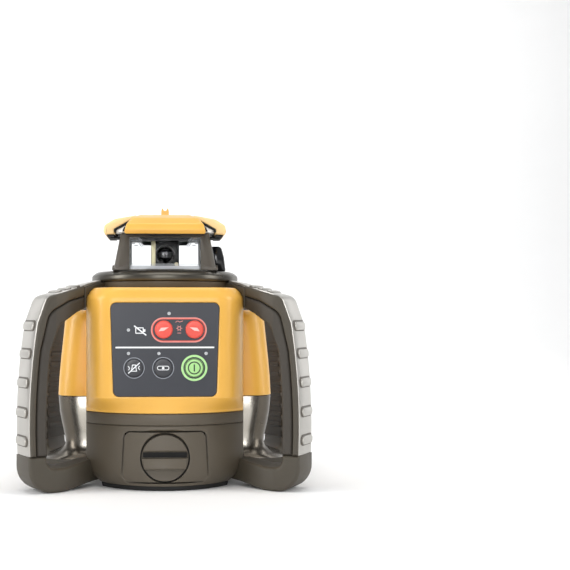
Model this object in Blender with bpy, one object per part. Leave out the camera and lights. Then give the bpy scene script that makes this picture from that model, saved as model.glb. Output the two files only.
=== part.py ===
"""Rotating laser level, built as separate pieces in one frame.

The frame: +Z up, the front (control panel and battery door) faces -Y, and the
origin is under the middle of the object, on the surface that it stands on.
Every size in this file is in millimetres; the meshes are made in metres.
"""
import math

import bmesh
import bpy
from mathutils import Matrix, Vector

MM = 0.001
GAP = 0.3                      # clearance between pieces that touch
SHY = 0.2                      # a smaller clearance, where a cut must miss a face
RING_ROUND = 48                # segments of the largest rings
ROUND = 28                     # segments of other round pieces
SMALL_ROUND = 16               # segments of small ones
SMOOTH_ANGLE = math.radians(32)

# ---- levels, from the floor up -------------------------------------------------
PAD_TOP = 3.7
HOUSING_BOTTOM = 4.0
HOUSING_TOP = 56.4
WAIST_BOTTOM = 56.7
WAIST_TOP = 66.8
CASE_BOTTOM = 67.1
CASE_TOP = 176.4
NECK_BOTTOM = 176.7
NECK_TOP = 182.4
RING_BOTTOM = 182.7
RING_TOP = 192.3
HEAD_BOTTOM = 192.6
HEAD_TOP = 226.3
CAP_TOP = 243.4
SIGHT_TIP = 252.5

# ---- body ----------------------------------------------------------------------
BODY_RADIUS = 86.0             # the front and the back are parts of one circle
BODY_HALF_WIDTH = 70.0         # flat sides, which the columns stand against
WALL = 3.0
COLUMN_OUTER = 97.8            # at the split; the column narrows above and below it
COLUMN_SPLIT = 79.0            # yellow above, metallic cover below
NECK_HOLE = 46.0               # the levelled module swings inside this radius
RING_CLEAR = 68.2              # nothing round the top ring comes nearer than this
CASE_HOLE = 50.0
COLUMN_LEVELS = (              # (z, step in from the outer face, half depth), above the split
    (79.3, 0.0, 34.0),
    (112.0, 2.4, 34.0),
    (148.0, 6.0, 34.0),
    (154.0, 8.0, 31.5),
    (157.0, 13.0, 26.0),
)
COVER_LEVELS = (               # (z, outer reach, half depth) of a metallic side cover
    (15.0, 79.0, 18.0),
    (20.0, 87.0, 22.0),
    (30.0, 92.0, 27.0),
    (46.0, 95.0, 31.0),
    (79.0, 97.8, 34.0),
)
COLUMN_HOLLOW = (73.0, 88.0, 28.0, 75.0, 148.0)    # reach, reach, half depth, z, z
COVER_HOLLOW = (74.0, 90.0, 26.0, 40.0, 85.0)
SIDE_ROOM = (39.0, 62.0, 45.0, 20.0, 60.0)         # beside the battery bay
REAR_ROOM = (40.0, 65.0, 74.0, 15.0, 60.0)         # half width, y, y, z, z
PLATE_RADIUS = 42.0            # aluminium plate of the base
PLATE_TOP = 6.0
PLATE_HOLE = 14.3              # in it stands the tripod insert
INSERT_RADIUS = 14.0
INSERT_BORE = 7.9
INSERT_TOP = 11.5

# ---- control panel -------------------------------------------------------------
PANEL_FACE = -86.3
PANEL_BACK = -84.5
PANEL_BOTTOM = 82.1
PANEL_TOP = 163.1
PANEL_HALF_TOP = 47.1
PANEL_HALF_BOTTOM = 44.45
PANEL_CORNER = 5.0
PAD_FACE = -86.6               # the flat pad of the case round the panel
PAD_HALF = 44.0                # where its elliptic corners begin
KEY_PROUD = 1.0
KEY_FLANGE = 1.0
KEYS = {                       # name: (x, z, radius, material)
    "key_up": (-1.2, 140.0, 7.75, "red_key"),
    "key_down": (25.5, 140.0, 7.75, "red_key"),
    "key_vibration": (-26.7, 106.8, 8.0, "black_key"),
    "key_mode": (-1.6, 106.8, 8.3, "black_key"),
    "key_power": (25.2, 106.8, 8.2, "green_key"),
}
KEY_WINDOW = (-38.0, 38.0, 94.0, 157.0)    # opening behind the panel: x, x, z, z
LIGHT_RADIUS = 1.25
LIGHTS = ((3.5, 153.8), (-31.5, 139.6), (-31.5, 119.3), (-5.3, 119.3), (35.4, 119.3))

# ---- battery holder ------------------------------------------------------------
DOOR_BOTTOM = 7.0
DOOR_TOP = 51.5
DOOR_HALF_TOP = 35.4
DOOR_HALF_BOTTOM = 37.9
DOOR_BACK = -74.3
KNOB_Z = 28.7
KNOB_RADIUS = 20.75
KNOB_FLOOR = -78.0             # bottom of the round pocket in the door
KNOB_FACE = -84.2
KNOB_BAR = (19.2, 28.2)        # heights of the grip bar, with the groove above it
KNOB_GROOVE_TOP = 34.6
KNOB_BAR_FACE = -87.0
CAVITY_HALF = 35.0
CAVITY_BOTTOM = 12.0
CAVITY_TOP = 50.0
CAVITY_END = 62.0
CELL_RADIUS = 16.5
CELL_LENGTH = 61.5
CELL_Z = 31.0
TRAY_HALF = CAVITY_HALF - 0.5
TRAY_FRONT = -70.0
TRAY_REAR = 57.5
TRAY_LEVELS = (12.4, 27.0)
TRAY_FLOOR = 13.9

# ---- handles -------------------------------------------------------------------
HANDLE_ANGLE = math.radians(25)    # plan angle between an arm and the X axis
HANDLE_SIDES = (                   # (distance, rear side, front side) from the arm's axis
    (60.0, -14.0, 5.0),
    (70.0, -9.0, 11.5),
    (80.0, -3.5, 19.5),
    (90.0, 0.5, 27.0),
    (100.0, 3.0, 32.5),
    (110.0, 4.2, 37.5),
    (122.0, 4.2, 42.0),
)
POST_REACH = 146.6                 # outer face of a post at its widest
POST_BELLY = 55.0                  # height where it is widest
POST_CURVE = 567.0                 # radius of its long outer curve
POST_THICKNESS = 16.6
SKIN = 3.0
SEAM = 90.0                        # where the shoulder stub ends and the grip begins
FOOT_SEAM = 31.4

# ---- levelled module -----------------------------------------------------------
PIVOT_Z = 130.0
MOTOR_Y = 27.0
BELT_Z = (188.0, 194.0)


# ================================ shape helpers =================================
def rounded(corners, steps=4):
    """Outline through (x, y, radius) corners, each one rounded by an arc."""
    points = []
    count = len(corners)
    for index, (x, y, radius) in enumerate(corners):
        corner = Vector((x, y))
        if radius == 0:
            points.append((x, y))
            continue
        to_last = (Vector(corners[index - 1][:2]) - corner).normalized()
        to_next = (Vector(corners[(index + 1) % count][:2]) - corner).normalized()
        half = to_last.angle(to_next) / 2
        centre = corner + (to_last + to_next).normalized() * (radius / math.sin(half))
        start = corner + to_last * (radius / math.tan(half)) - centre
        end = corner + to_next * (radius / math.tan(half)) - centre
        first = math.atan2(start.y, start.x)
        sweep = (math.atan2(end.y, end.x) - first + math.pi) % (2 * math.pi) - math.pi
        for step in range(steps + 1):
            angle = first + sweep * step / steps
            points.append((centre.x + radius * math.cos(angle),
                           centre.y + radius * math.sin(angle)))
    return points


def loft(rings):
    """Solid through rings of points that all have the same count."""
    count = len(rings[0])
    verts = [point for ring in rings for point in ring]
    faces = [list(range(count)), list(range(len(verts) - count, len(verts)))]
    for level in range(len(rings) - 1):
        base = level * count
        for index in range(count):
            after = (index + 1) % count
            faces.append([base + index, base + after,
                          base + count + after, base + count + index])
    return verts, faces


def prism(outline, low, high):
    """Plan outline raised from one height to another."""
    return loft([[(x, y, z) for x, y in outline] for z in (low, high)])


def box(x0, x1, y0, y1, z0, z1):
    return prism([(x0, y0), (x1, y0), (x1, y1), (x0, y1)], z0, z1)


def side_box(side, near, far, half_depth, low, high):
    """Block on the left (-1) or right (+1), between two distances from the middle."""
    return box(*sorted((side * near, side * far)), -half_depth, half_depth, low, high)


def lathe(profile, segments=ROUND, x=0.0, y=0.0):
    """Closed (radius, z) profile turned about a vertical axis.

    A profile that starts and ends on the axis makes a solid, any other a ring."""
    solid = profile[0][0] == 0 and profile[-1][0] == 0
    turned = profile[1:-1] if solid else profile
    rings = []
    for radius, z in turned:
        angles = [2 * math.pi * step / segments for step in range(segments)]
        rings.append([(x + radius * math.cos(a), y + radius * math.sin(a), z) for a in angles])
    if solid:
        return loft(rings)
    verts = [point for ring in rings for point in ring]
    faces = []
    for level in range(len(rings)):
        base = level * segments
        above = (level + 1) % len(rings) * segments
        for index in range(segments):
            after = (index + 1) % segments
            faces.append([base + index, base + after, above + after, above + index])
    return verts, faces


def spanned(profile, half_widths):
    """Closed (y, z) profile with its own half-width in X at each of its points."""
    left = [(-half, y, z) for (y, z), half in zip(profile, half_widths)]
    right = [(half, y, z) for (y, z), half in zip(profile, half_widths)]
    return loft([left, right])


def moved(shape, matrix):
    verts, faces = shape
    return [tuple(matrix @ Vector(point)) for point in verts], faces


def joined(*shapes):
    """Several shapes that stay apart, in one mesh."""
    verts = []
    faces = []
    for more_verts, more_faces in shapes:
        base = len(verts)
        verts.extend(more_verts)
        faces.extend([[index + base for index in face] for face in more_faces])
    return verts, faces


def facing_front(shape, x, y, z):
    """A shape turned about Z, laid down so that its +Z points to -Y, then placed."""
    return moved(shape, Matrix.Translation((x, y, z)) @ Matrix.Rotation(math.pi / 2, 4, "X"))


# ================================ scene helpers =================================
def clear_scene():
    for thing in list(bpy.data.objects):
        bpy.data.objects.remove(thing, do_unlink=True)


def linear(channel):
    """A display colour channel, 0 to 255, as the linear value a shader takes."""
    value = channel / 255
    return value / 12.92 if value <= 0.04045 else ((value + 0.055) / 1.055) ** 2.4


FINISHES = {                   # name: (red, green, blue, roughness, metallic)
    "yellow_shell": (238, 186, 80, 0.45, 0.0),
    "brown_shell": (104, 97, 86, 0.55, 0.0),
    "silver_skin": (168, 166, 162, 0.38, 0.6),
    "dark_frame": (82, 77, 70, 0.5, 0.0),
    "black_rubber": (26, 25, 24, 0.8, 0.0),
    "panel_film": (64, 69, 80, 0.4, 0.0),
    "red_key": (225, 84, 66, 0.4, 0.0),
    "black_key": (38, 41, 48, 0.4, 0.0),
    "green_key": (150, 215, 120, 0.4, 0.0),
    "clear_plastic": (225, 228, 230, 0.2, 0.0),
    "window_glass": (232, 236, 238, 0.05, 0.0),
    "aluminium": (190, 192, 194, 0.35, 1.0),
    "brass": (190, 156, 88, 0.3, 1.0),
    "steel": (150, 152, 155, 0.3, 1.0),
    "circuit_board": (30, 92, 58, 0.5, 0.0),
    "cell_jacket": (70, 74, 82, 0.35, 0.2),
    "inner_plastic": (48, 48, 50, 0.6, 0.0),
    "lens_glass": (24, 28, 40, 0.05, 0.0),
}


def finish(name):
    material = bpy.data.materials.get(name)
    if material is None:
        red, green, blue, roughness, metallic = FINISHES[name]
        material = bpy.data.materials.new(name)
        material.use_nodes = True
        shader = material.node_tree.nodes["Principled BSDF"]
        colour = (linear(red), linear(green), linear(blue), 1.0)
        shader.inputs["Base Color"].default_value = colour
        shader.inputs["Roughness"].default_value = roughness
        shader.inputs["Metallic"].default_value = metallic
    return material


def make_object(name, shape, origin=(0.0, 0.0, 0.0)):
    """Object whose mesh is the shape, and whose origin is where it is asked for."""
    verts, faces = shape
    centre = Vector(origin)
    mesh = bpy.data.meshes.new(name)
    mesh.from_pydata([(Vector(point) - centre) * MM for point in verts], [], faces)
    work = bmesh.new()
    work.from_mesh(mesh)
    bmesh.ops.recalc_face_normals(work, faces=work.faces)
    work.to_mesh(mesh)
    work.free()
    thing = bpy.data.objects.new(name, mesh)
    thing.location = centre * MM
    bpy.context.collection.objects.link(thing)
    return thing


def piece(name, shape, finish_name, origin=(0.0, 0.0, 0.0)):
    thing = make_object(name, shape, origin)
    thing.data.materials.append(finish(finish_name))
    thing.data.shade_smooth()
    thing.data.set_sharp_from_angle(angle=SMOOTH_ANGLE)
    return thing


def boolean(thing, label, shape, operation, solver="EXACT"):
    """Adds to, cuts or trims a piece with a shape that isn't part of the object."""
    tool = make_object(f"tool_{thing.name}_{label}", shape)
    tool.hide_render = True
    tool.display_type = "WIRE"
    modifier = thing.modifiers.new(label, "BOOLEAN")
    modifier.operation = operation
    modifier.solver = solver
    modifier.object = tool
    return thing


def cut(thing, label, shape):
    return boolean(thing, label, shape, "DIFFERENCE")


def unite(thing, label, shape):
    return boolean(thing, label, shape, "UNION")


# ==================================== body ======================================
def barrel_half(grow=0.0, padded=False):
    """Front or back edge of the body in plan, from -X to +X, as (x, distance).

    The padded front is flat round the panel, with an elliptic corner at each side."""
    radius = BODY_RADIUS + grow
    side = BODY_HALF_WIDTH + grow
    edge = math.sqrt(radius * radius - side * side)
    steps = (0.0, 0.23, 0.46, 0.63, 0.715, 0.79, 0.88, 0.95, 0.985, 1.0)
    half = []
    for step in steps:
        x = step * side
        reach = math.sqrt(radius * radius - x * x)
        if padded:
            bend = max(0.0, x - PAD_HALF) / (side - PAD_HALF)
            reach = edge + (grow - PAD_FACE - edge) * math.sqrt(1.0 - bend * bend)
        half.append((x, reach))
    return [(-x, reach) for x, reach in reversed(half[1:])] + half


def barrel(grow=0.0, padded=False, wide=1.0, deep=1.0):
    """Plan outline of the body: two arcs of one circle between flat sides."""
    front = [(x * wide, -reach * deep) for x, reach in barrel_half(grow, padded)]
    back = [(x * wide, reach * deep) for x, reach in reversed(barrel_half(grow))]
    return front + back


def barrel_loft(sections, grow=0.0):
    """Body solid from (z, width factor, depth factor, padded) sections."""
    rings = []
    for z, wide, deep, padded in sections:
        rings.append([(x, y, z) for x, y in barrel(grow, padded, wide, deep)])
    return loft(rings)


def column(side, levels, inner=BODY_HALF_WIDTH + GAP):
    """Side column from (z, outer reach, half depth) levels; side is -1 or +1."""
    rings = []
    for z, outer, half in levels:
        near = min(12.0, half * 0.6, (outer - inner) * 0.8)
        plan = rounded([(inner, -half, 0), (outer, -half, near),
                        (outer, half, near), (inner, half, 0)])
        rings.append([(side * x, y, z) for x, y in plan])
    return loft(rings)


CASE_SECTIONS = (
    (CASE_BOTTOM, 1.0, 0.994, False),
    (CASE_BOTTOM + 1.2, 1.0, 1.0, False),
    (71.0, 1.0, 1.0, False),
    (80.5, 1.0, 1.0, True),
    (165.5, 1.0, 1.0, True),
    (169.5, 0.985, 0.99, True),
    (173.5, 0.95, 0.975, True),
    (CASE_TOP, 0.90, 0.95, True),
)
HOUSING_SECTIONS = (
    (HOUSING_BOTTOM, 0.815, 0.965, False),
    (8.5, 0.885, 0.978, False),
    (15.5, 0.95, 0.99, False),
    (26.0, 1.0, 1.0, False),
    (HOUSING_TOP, 1.0, 1.0, False),
)


def panel_outline(grow=0.0):
    """Front view of the panel, a little wider at its top, as (x, z)."""
    return rounded([
        (-PANEL_HALF_BOTTOM - grow, PANEL_BOTTOM - grow, PANEL_CORNER),
        (PANEL_HALF_BOTTOM + grow, PANEL_BOTTOM - grow, PANEL_CORNER),
        (PANEL_HALF_TOP + grow, PANEL_TOP + grow, PANEL_CORNER),
        (-PANEL_HALF_TOP - grow, PANEL_TOP + grow, PANEL_CORNER),
    ])


def upright(outline, near, far):
    """Front-view (x, z) outline given depth from y = near to y = far."""
    return loft([[(x, y, z) for x, z in outline] for y in (near, far)])


def make_case():
    case = piece("main_case", barrel_loft(CASE_SECTIONS), "yellow_shell")
    column_levels = [(z, COLUMN_OUTER - step, half) for z, step, half in COLUMN_LEVELS]
    inside_wall = BODY_HALF_WIDTH - 1.5
    unite(case, "columns", joined(*[column(side, column_levels, inside_wall)
                                    for side in (-1, 1)]))
    room = ((CASE_BOTTOM - 5, 1.0, 1.0, False), (164.0, 1.0, 1.0, False),
            (CASE_TOP - 4, 0.94, 0.96, False))
    cut(case, "room", barrel_loft(room, -WALL))
    cut(case, "column_hollows", joined(side_box(-1, *COLUMN_HOLLOW), side_box(1, *COLUMN_HOLLOW)))
    cut(case, "top_hole", lathe([(0, 150), (CASE_HOLE, 150), (CASE_HOLE, 190), (0, 190)]))
    cut(case, "panel_pocket", upright(panel_outline(GAP), PAD_FACE - 5, PANEL_BACK + GAP))
    cut(case, "key_window", box(*KEY_WINDOW[:2], PAD_FACE - 5, -60, *KEY_WINDOW[2:]))


def make_side_covers():
    for name, side in (("side_cover_left", -1), ("side_cover_right", 1)):
        cover = piece(name, column(side, COVER_LEVELS), "silver_skin")
        cut(cover, "hollow", side_box(side, *COVER_HOLLOW))


def door_outline(grow=0.0):
    return rounded([
        (-DOOR_HALF_BOTTOM - grow, DOOR_BOTTOM - grow, 0),
        (DOOR_HALF_BOTTOM + grow, DOOR_BOTTOM - grow, 0),
        (DOOR_HALF_TOP + grow, DOOR_TOP + grow, 5.0),
        (-DOOR_HALF_TOP - grow, DOOR_TOP + grow, 5.0),
    ])


def make_lower_body():
    housing = piece("lower_housing", barrel_loft(HOUSING_SECTIONS), "brown_shell")
    cut(housing, "door_opening", upright(door_outline(GAP), -95, DOOR_BACK + GAP))
    cut(housing, "battery_bay", box(-CAVITY_HALF, CAVITY_HALF, -90, CAVITY_END,
                                    CAVITY_BOTTOM, CAVITY_TOP))
    seat = PLATE_RADIUS + GAP
    cut(housing, "plate_seat", lathe([(0, 0), (seat, 0), (seat, PLATE_TOP + GAP),
                                      (PLATE_HOLE, PLATE_TOP + GAP), (PLATE_HOLE, 13), (0, 13)]))
    half, *span = REAR_ROOM
    cut(housing, "side_rooms", joined(side_box(-1, *SIDE_ROOM), side_box(1, *SIDE_ROOM),
                                      box(-half, half, *span)))
    waist_sections = ((WAIST_BOTTOM, 1.0, 0.996, False), (WAIST_BOTTOM + 1, 1.0, 1.0, False),
                      (WAIST_TOP - 1, 1.0, 1.0, False), (WAIST_TOP, 1.0, 0.992, False))
    waist = piece("waist_band", barrel_loft(waist_sections), "brown_shell")
    cut(waist, "tray", prism(barrel(-WALL - 2), WAIST_BOTTOM + 3, WAIST_TOP + 3))
    pad_rings = [[(x, y, z) for x, y in barrel(0, False, wide, deep)]
                 for z, wide, deep in ((0.0, 0.795, 0.95), (PAD_TOP, 0.81, 0.962))]
    pad = piece("base_pad", loft(pad_rings), "black_rubber")
    hole = PLATE_RADIUS + 2 * GAP
    cut(pad, "plate_hole", lathe([(0, -1), (hole, -1), (hole, 5), (0, 5)]))
    under = 0.5
    piece("base_plate", lathe([(PLATE_HOLE, under), (PLATE_RADIUS - 0.4, under),
                               (PLATE_RADIUS, under + 0.4), (PLATE_RADIUS, PLATE_TOP),
                               (PLATE_HOLE, PLATE_TOP)]), "aluminium")
    insert_profile = [(INSERT_BORE, under), (INSERT_RADIUS, under),
                      (INSERT_RADIUS, INSERT_TOP), (INSERT_BORE, INSERT_TOP)]
    piece("tripod_insert", lathe(insert_profile), "brass")


# ================================= battery holder ================================
def make_battery_holder():
    door = piece("battery_door", upright(door_outline(), -95, DOOR_BACK), "brown_shell")
    boolean(door, "face", barrel_loft(HOUSING_SECTIONS), "INTERSECT")
    pocket = [(0, 100), (KNOB_RADIUS + 0.8, 100), (KNOB_RADIUS + 0.8, -KNOB_FLOOR),
              (5.3, -KNOB_FLOOR), (5.3, 70), (0, 70)]
    cut(door, "knob_pocket", facing_front(lathe(pocket), 0, 0, KNOB_Z))
    seal = piece("door_seal", upright(rounded([
        (-34.5, 12.5, 3), (34.5, 12.5, 3), (34.5, 49.5, 3), (-34.5, 49.5, 3)]),
        DOOR_BACK + GAP, DOOR_BACK + 1.8), "black_rubber")
    cut(seal, "middle", box(-31.5, 31.5, -80, -60, 15.0, 47.0))

    tray = piece("battery_tray", box(-TRAY_HALF, TRAY_HALF, TRAY_FRONT, TRAY_REAR, *TRAY_LEVELS),
                 "inner_plastic")
    cut(tray, "hollow", box(-TRAY_HALF + 0.9, TRAY_HALF - 0.9, TRAY_FRONT + 1.5,
                            TRAY_REAR - 1.5, TRAY_FLOOR, 40))
    cell_profile = [(0, 0.0), (13.0, 0.0), (CELL_RADIUS, 0.8), (CELL_RADIUS, CELL_LENGTH - 2.3),
                    (5.0, CELL_LENGTH - 1.9), (5.0, CELL_LENGTH), (0, CELL_LENGTH)]
    number = 0
    for x in (-CELL_RADIUS - 0.2, CELL_RADIUS + 0.2):
        for row in (0, 1):
            number += 1
            tail = TRAY_FRONT + 2.0 + CELL_LENGTH + row * (CELL_LENGTH + 0.4)
            piece(f"battery_cell_{number}",
                  facing_front(lathe(cell_profile, SMALL_ROUND), x, tail, CELL_Z), "cell_jacket")
    piece("contact_plate", box(-30, 30, CAVITY_END - 2.0, CAVITY_END - GAP, 16, 46), "steel")


def make_lock_knob():
    """Knob and latch cam, whose origins are on the axis that they turn about."""
    axis = (0.0, 0.0, KNOB_Z)
    face = -KNOB_FACE
    profile = [(0, 70.6), (4.0, 70.6), (4.0, 73.4), (5.0, 73.4), (5.0, 78.4), (KNOB_RADIUS, 78.4),
               (KNOB_RADIUS, face - 0.6), (KNOB_RADIUS - 0.6, face), (0, face)]
    knob = piece("lock_knob", facing_front(lathe(profile), 0, 0, KNOB_Z), "brown_shell", axis)
    unite(knob, "grip_bar", box(-17.5, 17.5, KNOB_BAR_FACE, KNOB_FACE + 1, *KNOB_BAR))
    cut(knob, "grip_groove", box(-18.5, 18.5, -90, KNOB_FACE + 3.5, KNOB_BAR[1], KNOB_GROOVE_TOP))
    cam = piece("latch_cam", upright(rounded([
        (-8, KNOB_Z - 8, 6), (8, KNOB_Z - 8, 6), (6, KNOB_Z + 17, 5), (-6, KNOB_Z + 17, 5)]),
        -73.1, -70.9), "steel", axis)
    cut(cam, "square_hole", facing_front(
        lathe([(0, 69), (4.3, 69), (4.3, 75), (0, 75)], SMALL_ROUND), 0, 0, KNOB_Z))


# ================================= control panel =================================
def make_panel():
    panel = piece("control_panel", upright(panel_outline(), PANEL_FACE, PANEL_BACK), "panel_film")
    holes = []
    for x, z, radius, _ in KEYS.values():
        profile = [(0, 80), (radius + GAP, 80), (radius + GAP, 90), (0, 90)]
        holes.append(facing_front(lathe(profile, SMALL_ROUND), x, 0, z))
    for x, z in LIGHTS:
        reach = LIGHT_RADIUS + 0.15
        holes.append(facing_front(lathe([(0, 80), (reach, 80), (reach, 90), (0, 90)], 8), x, 0, z))
    cut(panel, "holes", joined(*holes))
    for name, (x, z, radius, finish_name) in KEYS.items():
        top = -PANEL_FACE + KEY_PROUD
        flange = -PANEL_BACK - GAP
        profile = [(0, 80.6), (3.0, 80.6), (3.0, flange - KEY_FLANGE),
                   (radius + 0.9, flange - KEY_FLANGE), (radius + 0.9, flange),
                   (radius, flange), (radius, top - 0.5), (radius - 0.6, top), (0, top)]
        piece(name, facing_front(lathe(profile, SMALL_ROUND), x, 0, z), finish_name,
              (x, PANEL_FACE, z))
    make_light_guide()
    board = box(-37, 37, -79.0, -77.4, 95, 156)
    piece("control_board", board, "circuit_board")


def make_light_guide():
    """Clear moulding: a thin frame behind the panel with five stubs through it."""
    near, far = PANEL_BACK + GAP, PANEL_BACK + 2.0
    bars = ((-33.0, 37.0, 117.8, 120.8), (-33.0, -30.0, 119.0, 155.3), (-32.0, 5.0, 152.3, 155.3))
    x0, x1, z0, z1 = bars[0]
    guide = piece("light_guide", box(x0, x1, near, far, z0, z1), "clear_plastic")
    for index, (x0, x1, z0, z1) in enumerate(bars[1:]):
        unite(guide, f"bar_{index}", box(x0, x1, near, far, z0, z1))
    stubs = [facing_front(lathe([(0, 83.2), (LIGHT_RADIUS, 83.2),
                                 (LIGHT_RADIUS, -PANEL_FACE + 0.2), (0, -PANEL_FACE + 0.2)], 8),
                          x, 0, z) for x, z in LIGHTS]
    unite(guide, "stubs", joined(*stubs))


# =================================== handles ====================================
def post_reach(z):
    """Distance of a post's outer face along the arm at a height."""
    return POST_REACH - (z - POST_BELLY) ** 2 / (2 * POST_CURVE)


def outer_line():
    """Outer edge of a handle, from the ring down to the foot, as (distance, z)."""
    corner = rounded([(50.0, 60.0, 0), (50.0, 188.0, 0), (84.0, 181.8, 24.0),
                      (130.5, 169.6, 10.0), (post_reach(146.0), 146.0, 0)], 3)
    arm = [point for point in corner if point[1] > 147]
    post = [(post_reach(z), z) for z in (146.0, 122.0, 104.0, 86.0, 68.0, 50.0)]
    return arm + post + [(post_reach(50.0) - 0.5, FOOT_SEAM + GAP)]


def inset_line(line, depth):
    """A line moved inwards by a depth, away from the outer side."""
    moved_line = []
    for index, (reach, z) in enumerate(line):
        last = Vector(line[max(index - 1, 0)])
        after = Vector(line[min(index + 1, len(line) - 1)])
        along = (after - last).normalized()
        moved_line.append((reach + along.y * depth, z - along.x * depth))
    moved_line[-1] = (moved_line[-1][0], line[-1][1])
    return moved_line


def side_offset(reach, side):
    """Offset of a handle's rear side (1) or front side (2) at a distance along the arm."""
    for nearer, farther in zip(HANDLE_SIDES, HANDLE_SIDES[1:]):
        if reach <= farther[0]:
            share = max(0.0, (reach - nearer[0]) / (farther[0] - nearer[0]))
            return nearer[side] + (farther[side] - nearer[side]) * share
    return HANDLE_SIDES[-1][side]


def handle_shape(outline):
    """(distance, z) outline given its width, in the front right handle's place."""
    along = Vector((math.cos(HANDLE_ANGLE), -math.sin(HANDLE_ANGLE)))
    forward = Vector((-math.sin(HANDLE_ANGLE), -math.cos(HANDLE_ANGLE)))
    rings = []
    for side in (1, 2):
        ring = []
        for reach, z in outline:
            spot = along * reach + forward * side_offset(reach, side)
            ring.append((spot.x, spot.y, z))
        rings.append(ring)
    return loft(rings)


CORNERS = {"front_right": (1, 1), "front_left": (-1, 1),
           "rear_right": (1, -1), "rear_left": (-1, -1)}


def mirrored(shape, across_x, across_y):
    verts, faces = shape
    return [(x * across_x, y * across_y, z) for x, y, z in verts], faces


def inner_line():
    """Inner edge of a grip, from the shoulder seam down to the foot seam."""
    corner = rounded([(SEAM + GAP, 158.5, 0), (100.5, 154.0, 20.0), (118.0, 143.5, 14.0),
                      (post_reach(122.0) - POST_THICKNESS, 122.0, 0),
                      (100.0, 100.0, 0)], 3)[:-1]
    post = [(post_reach(z) - POST_THICKNESS, z) for z in (104.0, 86.0, 68.0, 50.0)]
    return corner + post + [(post_reach(50.0) - POST_THICKNESS, FOOT_SEAM + GAP)]


def grip_outline():
    line = [point for point in inset_line(outer_line(), SKIN + GAP) if point[0] > SEAM + 2]
    start = (SEAM + GAP, inset_height(SEAM))
    return [start] + line + list(reversed(inner_line()))


def inset_height(reach):
    """Height of the underside of the skin above a place on the arm."""
    line = inset_line(outer_line(), SKIN + GAP)
    for (reach_a, z_a), (reach_b, z_b) in zip(line, line[1:]):
        if reach_a <= reach <= reach_b:
            return z_a + (z_b - z_a) * (reach - reach_a) / (reach_b - reach_a)
    return line[0][1]


def foot_outline():
    top = post_reach(50.0) - 0.5
    inner = post_reach(50.0) - POST_THICKNESS
    return rounded([(top, FOOT_SEAM, 0), (inner, FOOT_SEAM, 0), (inner, 20.5, 8.0),
                    (112.0, 20.5, 8.0), (84.0, 24.5, 0), (55.0, 25.0, 0), (55.0, 5.5, 0),
                    (86.0, 4.2, 6.0), (112.0, 0.0, 8.0), (top, 0.0, 21.0)], 4)


def make_handles():
    skin_line = outer_line()
    under_line = inset_line(skin_line, SKIN)
    skin = handle_shape(skin_line + list(reversed(under_line)))
    grip = handle_shape(grip_outline())
    foot = handle_shape(foot_outline())
    body_space = barrel_loft([(-1.0, 0.81, 0.962, False)] + list(HOUSING_SECTIONS), GAP + 0.1)
    ring_space = lathe([(0, 150), (RING_CLEAR, 150), (RING_CLEAR, 200), (0, 200)], RING_ROUND)
    for corner, (across_x, across_y) in CORNERS.items():
        skin_piece = piece(f"grip_skin_{corner}", mirrored(skin, across_x, across_y),
                           "silver_skin")
        cut(skin_piece, "ring", ring_space)
        piece(f"grip_core_{corner}", mirrored(grip, across_x, across_y), "brown_shell")
        foot_piece = piece(f"foot_{corner}", mirrored(foot, across_x, across_y), "brown_shell")
        cut(foot_piece, "body", body_space)


def make_neck():
    """Ring under the head, with the four shoulder stubs that the grips join."""
    seam_top = inset_height(SEAM)
    stub = handle_shape([(48.0, inset_height(55.0)), (55.0, inset_height(55.0)),
                         (74.0, inset_height(74.0)), (SEAM, seam_top), (SEAM, 158.8),
                         (76.0, 161.5), (48.0, 168.0)])
    stubs = [mirrored(stub, *across) for across in CORNERS.values()]
    neck = piece("neck_frame", joined(*stubs), "brown_shell")
    case_space = [(150.0, 1.0, 1.0, True)]
    case_space += [(z + SHY, wide, deep, padded) for z, wide, deep, padded in CASE_SECTIONS[4:]]
    cut(neck, "case", barrel_loft(case_space, GAP + 0.1))
    ring_space = [(0, NECK_TOP - SHY), (RING_CLEAR, NECK_TOP - SHY), (RING_CLEAR, 200), (0, 200)]
    cut(neck, "ring", lathe(ring_space, RING_ROUND))
    collar = lathe([(NECK_HOLE, NECK_BOTTOM), (64.0, NECK_BOTTOM),
                    (64.0, NECK_TOP), (NECK_HOLE, NECK_TOP)], RING_ROUND)
    boolean(neck, "collar", collar, "UNION", "MANIFOLD")
    piece("top_ring", lathe([(NECK_HOLE, RING_BOTTOM), (66.4, RING_BOTTOM), (67.8, 184.6),
                             (67.8, 188.0), (64.5, 191.4), (60.5, RING_TOP),
                             (NECK_HOLE, RING_TOP)], RING_ROUND), "silver_skin")


# ===================================== head =====================================
HEAD_HALF_LOW = 47.0
HEAD_HALF_HIGH = 40.4
HEAD_CORNER = 7.0
PILLAR_INNER = 32.0
WINDOW_LOW = 194.2
WINDOW_HIGH = 222.3


def square(half, corner, steps=2):
    return rounded([(-half, -half, corner), (half, -half, corner),
                    (half, half, corner), (-half, half, corner)], steps)


def square_loft(levels):
    """Solid through rounded squares from (z, half width, corner radius) levels."""
    return loft([[(x, y, z) for x, y in square(half, corner)] for z, half, corner in levels])


def head_half(z, inset):
    """Half width of the tapered head at a height, moved in by an inset."""
    share = (z - HEAD_BOTTOM) / (HEAD_TOP - HEAD_BOTTOM)
    return HEAD_HALF_LOW + (HEAD_HALF_HIGH - HEAD_HALF_LOW) * share - inset


def tapered(low, high, inset, corner):
    return square_loft([(z, head_half(z, inset), corner) for z in (low, high)])


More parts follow.
